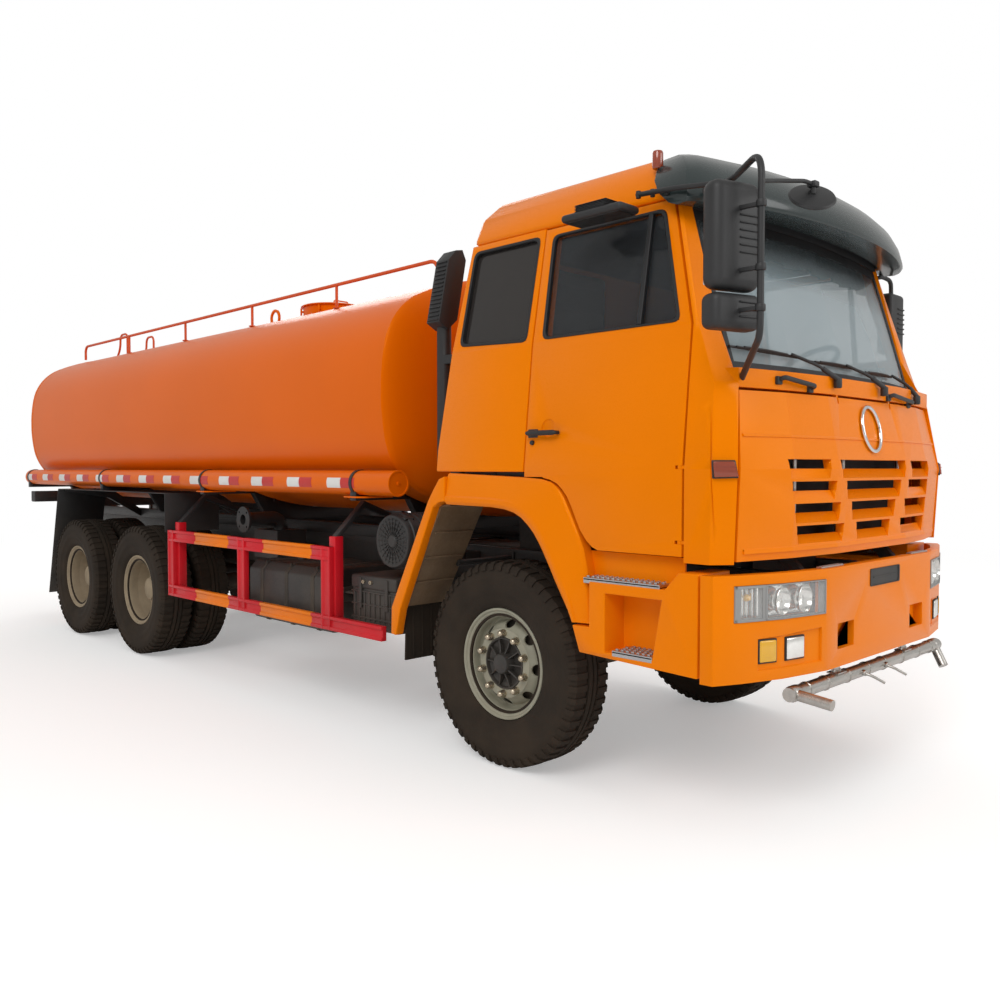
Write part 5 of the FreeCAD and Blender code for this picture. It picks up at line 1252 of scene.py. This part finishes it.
# ------------------------------------------------------------ bumper
def bumper():
    shell = softened("front_bumper", 0)
    hollows = []
    for side in (-1, 1):
        rows = []
        for y, z_low, z_high in ((0.64, 0.735, 0.88), (0.9, 0.735, 0.868), (1.03, 0.735, 0.862)):
            x = between(y, BUMPER_FACE)
            rows.append([at(x - 0.012, side * y, z_low), at(x + 0.03, side * y, z_low - 0.02),
                         at(x + 0.03, side * y, z_high + 0.02), at(x - 0.012, side * y, z_high)])
        hollows.append(stack(rows))
        hollows.append(crate((1.615, side * 0.33, 0.765), (1.7, side * 0.5, 0.885), 0))
    cut_away(shell, *hollows)
    bevelled(shell, 0.01, 3, 28)
    done(shell, "bumper_shell", "chassis", orange, 32, replaces=["front_bumper"])
    # the tow recess backs are painted near-black as the shade inside the recesses
    plates = [crate((1.6, side * 0.325, 0.76), (1.612, side * 0.505, 0.89), 0.002, 1) for side in (-1, 1)]
    done(plates, "tow_recess_backs", "chassis", recess_painted_shade)
    holder = [frame_of(rounded([at(1.659, y, z) for y, z in ((-0.158, 1.026), (0.188, 1.026), (0.188, 1.112),
                                                             (-0.158, 1.112))], 0.012), 0.014, (1, 0, 0),
                                                             0.006),
              crate((1.655, -0.156, 1.028), (1.6605, 0.186, 1.11), 0.001, 1),
              crate((1.658, -0.12, 1.064), (1.6635, 0.15, 1.074), 0.002, 1)]
    done(holder, "plate_holder", "chassis", black_plastic)
    patches = []
    for low, high in ((-0.62, -0.4), (0.4, 0.62)):
        patches.append(crate((1.608, low, 1.146), (1.64, high, 1.154), 0.003, 1))
        for row in range(2):
            for number in range(7):
                y = low + 0.02 + number * 0.029 + 0.012 * (row % 2)
                patches.append(crate((1.612 + row * 0.013, y, 1.153), (1.621 + row * 0.013, y + 0.014, 1.156),
                                     0.002, 1))
    done(patches, "bumper_treads", "chassis", aluminium)


# ------------------------------------------------------------ rear half of the front arch
LIP = [(-0.252, 1.56), (-0.3, 1.545), (-0.345, 1.49), (-0.395, 1.42), (-0.73, 0.785), (-0.735, 0.625),
       (-0.69, 0.62), (-0.65, 0.775), (-0.352, 1.385), (-0.3, 1.415), (-0.252, 1.42)]


def splash_guards_detail():
    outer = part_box("splash_guards")[1][1]
    lips, panels_made, flaps, stays = [], [], [], []
    for side in (-1, 1):
        lips.append(bevelled(through(LIP, side, outer - 0.06, outer), 0.007, 3, 40))
        panels_made.append(through([(-0.262, 1.405), (-0.345, 1.395), (-0.7, 0.79), (-0.686, 0.784),
                                    (-0.334, 1.385), (-0.262, 1.393)], side, 0.862, outer - 0.052))
        for share in (0.25, 0.5, 0.75):
            x, z = -0.334 - 0.352 * share, 1.385 - 0.601 * share
            panels_made.append(pipe([(x + 0.004, side * 0.875, z), (x + 0.004, side * 1.165, z)], 0.007))
        flap_piece = through([(-0.706, 0.805), (-0.694, 0.805), (-0.69, 0.64), (-0.697, 0.46), (-0.709, 0.46),
                              (-0.702, 0.64)], side, 0.872, 1.16)
        flaps.append(flap_piece)
        for y in (0.9, 0.97, 1.04, 1.11):
            flaps.append(crate((-0.692, side * y, 0.48), (-0.688, side * y + 0.012, 0.77), 0.001, 1))
        stays.append(pipe([(-0.53, side * 0.44, 1.035), (-0.53, side * 0.895, 1.035)], 0.02))
        stays.append(crate((-0.56, side * 0.431, 0.995), (-0.5, side * 0.447, 1.075), 0.003))
    done(lips, "splash_lips", "chassis", orange, 32, replaces=["splash_guards"])
    done(panels_made, "splash_panels", "chassis", brown_mud)
    done(flaps, "splash_flaps", "chassis", tyre_rubber)
    done(stays, "splash_stays", "chassis", black_paint)


# ------------------------------------------------------------ below the tank
def air_filter():
    centre = at(-0.88, 0, 1.158)
    shell = [(-0.62, 0.0), (-0.62, 0.15), (-0.64, 0.165)]
    y = -0.66
    while y > -1.02:
        shell += [(y, 0.165), (y - 0.004, 0.172), (y - 0.018, 0.172), (y - 0.022, 0.165)]
        y -= 0.045
    shell += [(-1.04, 0.165), (-1.046, 0.176), (-1.075, 0.176), (-1.081, 0.168), (-1.108, 0.166),
              (-1.118, 0.158),
              (-1.12, 0.146), (-1.114, 0.134), (-1.118, 0.122), (-1.112, 0.108), (-1.117, 0.094),
              (-1.11, 0.08),
              (-1.116, 0.062), (-1.109, 0.046), (-1.122, 0.034), (-1.122, 0.0)]
    drum_piece = turned(shell, centre, "y", 48, closed=False)
    rib = block(centre + Vector((-0.002, -1.12, 0.034)), centre + Vector((0.002, -1.108, 0.15)), 0.001, 1)
    clip = joined([block(centre + Vector((-0.012, -1.1, 0.164)), centre + Vector((0.012, -1.03, 0.178)),
                         0.003),
                   rod(centre + Vector((0, -1.098, 0.172)), 0.006, 0.014, "x", 0.001, 12)])
    pieces = [drum_piece, around(rib, 24, centre, "y"), around(clip, 4, centre, "y", 0.6)]
    pieces.append(crate((-0.93, -0.621, 1.01), (-0.83, -0.56, 1.1), 0.006))
    pieces.append(crate((-0.94, -0.561, 1.0), (-0.82, -0.431, 1.06), 0.006))
    done(pieces, "air_filter_case", "chassis", black_plastic, 35, replaces=["air_filter"])
    strap = turned([(-0.7, 0.1735), (-0.73, 0.1735), (-0.73, 0.178), (-0.7, 0.178)], centre, "y", 48)
    done(strap, "air_filter_strap", "chassis", cast_iron)


def battery():
    pieces = [crate((-1.284, -1.124, 0.606), (-0.836, -0.646, 0.85), 0.012, 3),
              crate((-1.292, -1.132, 0.842), (-0.828, -0.638, 0.928), 0.016, 3),
              crate((-1.3, -1.12, 0.59), (-0.82, -0.5, 0.608), 0.003),
              crate((-1.29, -0.64, 0.8), (-0.83, -0.431, 0.86), 0.004)]
    for number in range(9):
        x = -1.262 + number * 0.051
        pieces.append(crate((x, -1.131, 0.64), (x + 0.016, -1.118, 0.832), 0.004))
    for z in (0.655, 0.74, 0.82):
        pieces.append(crate((-1.286, -1.133, z), (-0.834, -1.12, z + 0.01), 0.003))
    for x in (-1.2, -0.93):
        pieces.append(crate((x, -1.14, 0.72), (x + 0.03, -1.126, 0.915), 0.004))
        pieces.append(rod(at(x + 0.015, -1.138, 0.76), 0.008, 0.018, "x", 0.002, 12))
    pieces.append(crate((-1.42, -1.1, 0.79), (-1.288, -1.02, 0.802), 0.003))
    pieces.append(crate((-1.42, -1.106, 0.73), (-1.408, -1.02, 0.83), 0.003))
    done(pieces, "battery_case", "chassis", black_plastic, 35, replaces=["battery_box"])
    caps = []
    for x in (-1.15, -1.075):
        caps.append(rod(at(x, -1.136, 0.888), 0.013, 0.008, "y", 0.003, 16))
        caps.append(rod(at(x, -1.146, 0.888), 0.007, 0.004, "y", 0.002, 6))
    done(caps, "battery_bolts", "chassis", nut_metal)


def fuel_tank():
    shell = softened("fuel_tanks", 0.022, 3)
    done(shell, "fuel_tank_shells", "chassis", black_paint, 40, replaces=["fuel_tanks"])
    extras = []
    for x in (-2.4, -2.07, -1.74):
        line = [(0.558, 0.497), (1.081, 0.497), (1.133, 0.558), (1.133, 0.871), (1.071, 0.933),
                (0.558, 0.933)]
        inner = [(0.562, 0.503), (1.077, 0.503), (1.127, 0.561), (1.127, 0.868), (1.069, 0.928),
                 (0.562, 0.928)]
        outline = line + inner[::-1]
        extras.append(slab([at(x - 0.022, -y, z) for y, z in outline], Vector((0.044, 0, 0)), 0.001, 1))
        extras.append(rod(at(x, -1.085, 0.925), 0.009, 0.012, "z", 0.002, 6))
    done(both(extras), "fuel_tank_straps", "chassis", cast_iron)
    caps = [turned([(0.925, 0.0), (0.925, 0.05), (0.95, 0.05), (0.953, 0.058), (0.972, 0.058), (0.978, 0.05),
                    (0.978, 0.0)], at(-1.9, -0.9, 0), "z", 32, closed=False),
            crate((-1.906, -0.955, 0.975), (-1.894, -0.845, 0.988), 0.003),
            rod(at(-2.3, -0.85, 0.935), 0.03, 0.01, "z", 0.004, 20)]
    done(both(caps), "fuel_tank_caps", "chassis", black_plastic)


INTAKE_X = (-0.56, -0.45)


def intake():
    x_low, x_high = INTAKE_X
    slats = []
    for number in range(15):
        share = (number + 0.5) / 15
        y, z = 1.106 - 0.075 * share, 2.447 + 0.365 * share
        slats.append(slab([at(x_low + 0.012, -(y + out), z + rise) for out, rise in
                           ((-0.004, -0.008), (0.009, 0.001), (0.005, 0.006), (-0.008, 0.004))],
                          Vector((x_high - x_low - 0.024, 0, 0)), 0.001, 1))
    done([softened("intake_column", 0.006)] + slats, "intake_head", BODY_OF["intake_column"], black_plastic,
         35,
         replaces=["intake_column"])


def tube_cradles():
    """Orange ledges under the clamps of the hose tubes, and bolts on the saddles."""
    ledges, bolts = [], []
    for x in (-1.185, -3.196):
        for side in (-1, 1):
            ledges.append(slab([at(x - 0.1, side * 1.19, 1.418), at(x + 0.06, side * 1.205, 1.418),
                                at(x + 0.1, side * 1.15, 1.418), at(x + 0.1, side * 0.95, 1.418),
                                at(x - 0.1, side * 0.95, 1.418)], Vector((0, 0, 0.01)), 0.002, 1))
    for x in (-1.185, -3.196, -5.2, -7.2):
        for side in (-1, 1):
            for y in (0.5, 0.58):
                bolts += [rod(at(x + s, side * y, 1.345), 0.012, 0.01, "z", 0.002, 6) for s in (-0.055,
                                                                                                0.055)]
    done(ledges, "cradle_ledges", "chassis", tank_orange)
    done(bolts, "saddle_bolts", "chassis", cast_iron)


# x and height of the bar's middle
SPRINKLER_BAR = (1.606, 0.603)


def sprinkler():
    """Weld rings, elbow sleeves, hangers and small jets on the front bar."""
    x, z = SPRINKLER_BAR
    pieces = []
    for y in (-0.7, -0.52, -0.3, -0.085, 0.11, 0.33, 0.54, 0.72):
        pieces.append(turned([(y - 0.005, 0.0325), (y - 0.002, 0.036), (y + 0.002, 0.036),
                              (y + 0.005, 0.0325)],
                             at(x, 0, z), "y", 32))
    for side in (-1, 1):
        pieces.append(rod(at(x, side * 0.805, z), 0.0365, 0.034, "y", 0.01, 32))
        pieces.append(crate((x - 0.03, side * 0.39 - 0.045, z + 0.028),
                            (x + 0.03, side * 0.39 + 0.045, z + 0.036),
                            0.003))
        for y in (side * 0.39 - 0.03, side * 0.39 + 0.03):
            pieces.append(rod(at(x, y, z + 0.038), 0.008, 0.008, "z", 0.002, 6))
    for y in (-0.17, 0.09):
        pieces.append(pipe([(x + 0.02, y, z), (x + 0.07, y + 0.01, z - 0.012),
                            (x + 0.12, y + 0.045, z - 0.045)],
                           0.007, 0.02))
        pieces.append(rod(at(x + 0.034, y, z), 0.014, 0.012, "x", 0.003, 20))
    done(pieces, "sprinkler_fittings", "chassis", stainless)


def tail():
    lenses, plates = [], []
    for side in (-1, 1):
        for y, width in ((0.705, 0.085), (0.795, 0.105), (0.905, 0.09)):
            lenses.append(crate((-7.742, side * y, 1.238), (-7.73, side * (y + width), 1.334), 0.004))
        plates.append(crate((-7.736, side * 0.695, 1.228), (-7.7, side * 1.003, 1.344), 0.006))
    done(lenses, "tail_lamp_lenses", "chassis", lens_red, replaces=["tail_lamps"])
    done(plates, "tail_lamp_cases", "chassis", black_plastic)
    done(crate((-7.718, -0.22, 1.17), (-7.71, 0.22, 1.262), 0.003, 1), "rear_plate", "chassis",
         white_reflector)
    sign = []
    for y in (-0.6, -0.45, 0.45, 0.6):
        sign.append(crate((-7.716, y - 0.06, 1.19), (-7.709, y + 0.06, 1.24), 0.002, 1))
    done(sign, "rear_reflectors", "chassis", red_reflector)


# ------------------------------------------------------------ seats
# how long and how hard a pad is swelled, and the depth and width of its sewn channels
SWELL_STEPS, SWELL_PRESSURE = 20, 4
CHANNEL_DEPTH, CHANNEL_WIDTH = 0.16, 0.011
PAD_INSET = Vector((0.012, 0.012, 0.01))


def cushion(name, low, high, grooves, across_axis, voxel=0.012, reach=0.016):
    """A pad swelled by a short cloth run, then sewn with channels across its face."""
    low, high = Vector(low), Vector(high)
    piece = block(low + PAD_INSET, high - PAD_INSET, 0.035, 4)
    modified(piece, "REMESH", mode="VOXEL", voxel_size=voxel)
    rest = [vertex.co.copy() for vertex in piece.data.vertices]
    cloth = piece.modifiers.new("cloth", "CLOTH")
    cloth.settings.use_pressure = True
    cloth.settings.uniform_pressure_force = SWELL_PRESSURE
    cloth.settings.effector_weights.gravity = 0
    cloth.point_cache.frame_start = 1
    cloth.point_cache.frame_end = SWELL_STEPS
    for number in range(1, SWELL_STEPS + 1):
        bpy.context.scene.frame_set(number)
    only(piece)
    bpy.ops.object.modifier_apply(modifier="cloth")
    bpy.context.scene.frame_set(1)
    for vertex, start in zip(piece.data.vertices, rest):
        move = vertex.co - start
        if move.length > reach:
            vertex.co = start + move.normalized() * reach
        for axis in range(3):
            vertex.co[axis] = min(high[axis], max(low[axis], vertex.co[axis]))
    thin = min(range(3), key=lambda axis: high[axis] - low[axis])
    middle = (low + high) / 2
    for vertex in piece.data.vertices:
        inset = 1.0
        for place in grooves:
            near = (vertex.co[across_axis] - place) / CHANNEL_WIDTH
            inset -= CHANNEL_DEPTH * math.exp(-near * near)
        vertex.co[thin] = middle[thin] + (vertex.co[thin] - middle[thin]) * inset
    modified(piece, "SUBSURF", levels=1, render_levels=1)
    done(piece, name, "cab", seat_cloth, 60, replaces=["seats"])


def seats():
    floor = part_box("cab_floor")[1][2] - LIFT
    folds_each = 7
    for name, side in SIDES:
        inner, outer = sorted((side * 0.45, side * 0.96))
        rows = [inner + (outer - inner) * share for share in (0.22, 0.41, 0.59, 0.78)]
        cushion("seat_cushion_" + name, at(0.242, inner, 1.932), at(0.64, outer, 2.058), rows, 1)
        cushion("seat_back_" + name, at(0.152, inner, 2.064), at(0.288, outer, 2.698),
                [2.2 + LIFT, 2.33 + LIFT, 2.46 + LIFT, 2.59 + LIFT], 2)
        inner, outer = sorted((side * 0.52, side * 0.89))
        folds = []
        for number in range(folds_each):
            z = floor + 0.002 + (1.926 - floor) * number / folds_each
            folds.append(crate((0.305, inner, z), (0.615, outer, z + (1.926 - floor) / folds_each), 0.018, 2))
        done(folds, "seat_base_" + name, "cab", black_plastic, replaces=["seats"])
    cushion("bunk_mattress", at(-0.278, -0.955, 1.8), at(0.118, 0.955, 1.929), [-0.48, 0.0, 0.48], 1,
            voxel=0.02)
    done(crate((-0.275, -0.955, floor + 0.002), (0.115, 0.955, 1.799), 0.012, 3), "bunk_base", "cab",
         black_plastic, replaces=["seats"])


def cab_fittings():
    binnacle = crate((1.085, 0.4, 2.01), (1.25, 0.88, 2.08), 0.025, 4)
    vents = [crate((1.068, y - 0.07, 1.975), (1.085, y + 0.07, 2.02), 0.008, 3) for y in (-0.9, -0.35, 0.1)]
    done([binnacle] + vents, "dashboard_binnacle", "cab", black_plastic)
    lid = crate((1.052, -0.9, 1.85), (1.066, -0.42, 1.945), 0.006, 3)
    done(lid, "glove_box_lid", "cab", cab_lining)


# ------------------------------------------------------------ roof visor
# height, then x at the corner, between and in the middle (outer and inner), and the two half widths
VISOR = [(2.782, (1.262, 1.425, 1.5), (1.17, 1.285, 1.33), 1.121, 0.7),
         (2.8, (1.275, 1.432, 1.508), (1.12, 1.28, 1.325), 1.121, 0.7),
         (2.86, (1.262, 1.42, 1.496), (1.05, 1.24, 1.285), 1.105, 0.69),
         (2.93, (1.24, 1.385, 1.455), (1.01, 1.19, 1.225), 1.08, 0.66),
         (2.99, (1.2, 1.335, 1.395), (0.99, 1.12, 1.145), 1.03, 0.62),
         (3.04, (1.15, 1.27, 1.325), (0.98, 1.06, 1.075), 0.975, 0.575),
         (3.075, (1.09, 1.195, 1.245), (0.96, 1.0, 1.01), 0.92, 0.53),
         (3.092, (1.02, 1.11, 1.15), (0.96, 0.965, 0.97), 0.86, 0.49)]


# steps across, and the share of the half width where the corner turns back
VISOR_STEPS, VISOR_CORNER = 24, 0.93


def visor():
    rows = []
    for z, outer, inner, wide, near in VISOR:
        def x_at(y, values):
            corner, between_them, middle = values
            share = abs(y) / wide
            slope = (between_them - middle) / (near / wide) ** 2
            return middle + slope * share ** 2 + (corner - (middle + slope)) * share ** 4

        turns = [math.sin(math.pi * (number / VISOR_STEPS - 0.5)) for number in range(VISOR_STEPS + 1)]
        shape = []
        for turn in turns:
            past = max(0.0, abs(turn) - VISOR_CORNER) / (1 - VISOR_CORNER)
            shape.append(at(x_at(wide * turn, outer) - 0.035 * past ** 2, wide * turn, z))
        for turn in reversed(turns):
            y = wide * turn * 0.985
            shape.append(at(min(x_at(y, inner), x_at(y, outer) - 0.05), y, z))
        rows.append(shape)
    done(bevelled(stack(rows), 0.012, 3, 40), "roof_visor", "cab", fairing_grey, 50,
         replaces=["roof_fairing"])
    lines = []
    for y in (-0.36, 0.36):
        lines.append(tube([at(between(abs(y), [(0.0, row[1][2]), (row[4], row[1][1]),
                                               (row[3], row[1][0])]) + 0.002,
                              y, row[0]) for row in VISOR[1:7]], 0.004, 0.02))
    done(lines, "visor_seams", "cab", fairing_grey)

    columns = [-1.02, -0.985, -0.75, -0.5, -0.25, 0.0, 0.25, 0.5, 0.75, 0.985, 1.02]
    header = [(0.0, 1.241), (0.25, 1.231), (0.5, 1.212), (0.75, 1.19), (0.985, 1.16), (1.02, 1.15)]

    def under(y, z, out):
        return at(between(abs(y), header) + out, y, z)

    lining = strips(under, columns, [(2.795, 0.001), (2.792, 0.01), (2.85, 0.01), (2.85, 0.001)])
    done(lining, "visor_lining", "cab", trim_rubber)


def curtain():
    """The fringed shade along the top of the windscreen, inside the glass."""
    rows = []
    count = 96
    for number in range(count + 1):
        y = -0.93 + 1.86 * number / count
        wave = 0.01 * math.sin(number * 1.3)
        hem = 2.655 - 0.03 * abs(math.sin(math.pi * number / 16))
        rows.append([on_screen(y, z, out - 0.012 + wave * (0.3 if z > 2.7 else 1.0)) for z, out in
                     ((2.79, -0.034), (2.79, -0.038), (hem, -0.042), (hem, -0.036))])
    done(stack(rows), "windscreen_shade", "cab", shade_cloth, 60)


# ------------------------------------------------------------ side guards
GUARD_Z = (0.563, 1.1)
GUARD_RAIL = 0.09
GUARD_POSTS = (-3.703, -2.56, -1.472)
GUARD_TOP = [-3.702, -3.236, -2.708, -2.205, -1.595, -1.373]
GUARD_LOW = [-3.702, -3.226, -2.706, -2.25, -1.598, -0.831]


def channel(x_from, x_to, y, z_low, z_high, depth):
    """A rail whose middle is pressed in, on the right side."""
    lip = 0.02
    section = ((0, z_low), (0, z_low + lip), (0.01, z_low + lip + 0.006), (0.01, z_high - lip - 0.006),
               (0, z_high - lip), (0, z_high), (depth, z_high), (depth, z_low))
    return bevelled(stack([[at(x, -y + inset, z) for inset, z in section] for x in (x_from, x_to)]), 0.003,
                    2, 40)


def guards():
    depth = 0.04
    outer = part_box("side_guards")[1][1]
    colours = {"red": [], "orange": []}
    for cuts, z_high in ((GUARD_TOP, GUARD_Z[1]), (GUARD_LOW, GUARD_Z[0] + GUARD_RAIL)):
        for number, (x_from, x_to) in enumerate(zip(cuts, cuts[1:])):
            tone = "orange" if number % 2 else "red"
            colours[tone].append(channel(x_from, x_to, outer, z_high - GUARD_RAIL, z_high, depth))
    for x in GUARD_POSTS:
        section = ((0, -0.001), (0.018, -0.001), (0.024, 0.008), (0.076, 0.008), (0.082, -0.001),
                   (0.1, -0.001),
                   (0.1, depth), (0, depth))
        post = stack([[at(x + back, -outer + inset, z) for back, inset in section] for z in GUARD_Z])
        colours["red"].append(bevelled(post, 0.003, 2, 40))
    for x in (-3.605, -1.395):
        colours["red"].append(crate((x - 0.035, -outer + depth - 0.004, GUARD_Z[0]),
                                    (x + 0.035, -outer + depth + 0.06, GUARD_Z[1] + 0.065), 0.005))
    done(both(colours["red"]), "guard_red_parts", "chassis", guard_red, replaces=["side_guards"])
    done(both(colours["orange"]), "guard_orange_parts", "chassis", guard_orange)
    braces = []
    for x in (-3.605, -1.395):
        for side in (-1, 1):
            line = [(0.431, 1.15), (0.96, 1.345), (outer - depth - 0.005, GUARD_Z[1] + 0.02),
                    (outer - depth - 0.005, GUARD_Z[1] + 0.06), (0.96, 1.39), (0.431, 1.178)]
            braces.append(slab([at(x - 0.025, side * y, z) for y, z in line], Vector((0.05, 0, 0)), 0.003))
    done(braces, "guard_braces", "chassis", black_paint)


# ------------------------------------------------------------ panels that keep the node's own shape
# node, edge width
SOFTENED = [("cab_rear_wall", 0.005), ("cab_roof", 0.045), ("step_panels", 0.008), ("rear_fenders", 0.002),
            ("tank_saddles", 0.003), ("chassis_frame", 0.003), ("dashboard", 0.012),
            ("engine_gearbox", 0.012),
            ("radiator", 0.006), ("cab_floor", 0.003), ("leaf_springs", 0.003), ("front_axle_beam", 0.006),
            ("rear_axles", 0.008), ("rear_beam", 0.003)]


def panels():
    for node, width in SOFTENED:
        done(softened(node, width), node + "_panel", BODY_OF[node], FINISHES[node], replaces=[node])


wheels()
tank()
manhole()
handrails()
hose_tubes()
grille_panel()
front_lamps()
doors()
corner_posts()
arches()
steps()
windscreen_trim()
wipers()
mirrors()
bumper()
guards()
splash_guards_detail()
visor()
curtain()
sprinkler()
air_filter()
battery()
fuel_tank()
intake()
tube_cradles()
tail()
seats()
cab_fittings()
panels()


# ------------------------------------------------------------ floor and light
# the floor's own light, the distances between which it fades out, and the sky's strength
FLOOR_GLOW, FLOOR_FADE, SKY = 0.32, (6.5, 16.0), 0.62


def stage():
    """A pale floor that fades out, a sky that the camera sees as white, and three lamps."""
    only(None)
    bpy.ops.mesh.primitive_circle_add(vertices=96, radius=90, fill_type="NGON", location=(0, 0, -0.002))
    floor = bpy.context.object
    floor.name = "floor"
    material, tree, shader = nodes_of("pale_floor")
    shader.inputs["Base Color"].default_value = (0.86, 0.86, 0.86, 1)
    shader.inputs["Roughness"].default_value = 0.9
    pale = shader.outputs[0]
    reach = add(tree, "VectorMath", links={0: add(tree, "TexCoord").outputs["Object"]})
    reach.operation = "LENGTH"
    far = ranged(tree, reach.outputs["Value"], *FLOOR_FADE, 0.0, 1.0)
    glow = add(tree, "Emission", {"Strength": FLOOR_GLOW}).outputs[0]
    bright = add(tree, "Emission", {"Strength": 1.0}).outputs[0]
    total = add(tree, "AddShader", links={0: pale, 1: glow}).outputs[0]
    fading = add(tree, "MixShader", links={0: far, 1: total, 2: bright}).outputs[0]
    seen = add(tree, "LightPath").outputs["Is Camera Ray"]
    mixed = add(tree, "MixShader", links={0: seen, 1: pale, 2: fading}).outputs[0]
    tree.links.new(mixed, tree.nodes["Material Output"].inputs["Surface"])
    floor.data.materials.append(material)

    world = bpy.data.worlds.new("studio")
    bpy.context.scene.world = world
    world.use_nodes = True
    tree = world.node_tree
    sky = tree.nodes["Background"]
    sky.inputs["Color"].default_value = (1.0, 0.99, 0.97, 1)
    sky.inputs["Strength"].default_value = SKY
    white = add(tree, "Background", {"Color": (1, 1, 1, 1), "Strength": 1.0}).outputs[0]
    seen = add(tree, "LightPath").outputs["Is Camera Ray"]
    mixed = add(tree, "MixShader", links={0: seen, 1: sky.outputs[0], 2: white}).outputs[0]
    tree.links.new(mixed, tree.nodes["World Output"].inputs["Surface"])

    # name, place, size, power, what it points at
    lamps = [("key", (9, -14, 13), 9, 1150, (0, 0, 1.5)),
             ("front_fill", (16, 4, 7), 8, 500, (2, 0, 1.5)),
             ("back_fill", (-12, 10, 9), 9, 500, (0, 0, 1.5))]
    for name, place, width, power, aim in lamps:
        bpy.ops.object.light_add(type="AREA", location=place)
        lamp = bpy.context.object
        lamp.name = name
        lamp.data.shape = "DISK"
        lamp.data.size = width
        lamp.data.energy = power
        lamp.rotation_mode = "QUATERNION"
        lamp.rotation_quaternion = (Vector(aim) - Vector(place)).to_track_quat("-Z", "Y")
    bpy.context.scene.view_settings.view_transform = "Standard"


stage()
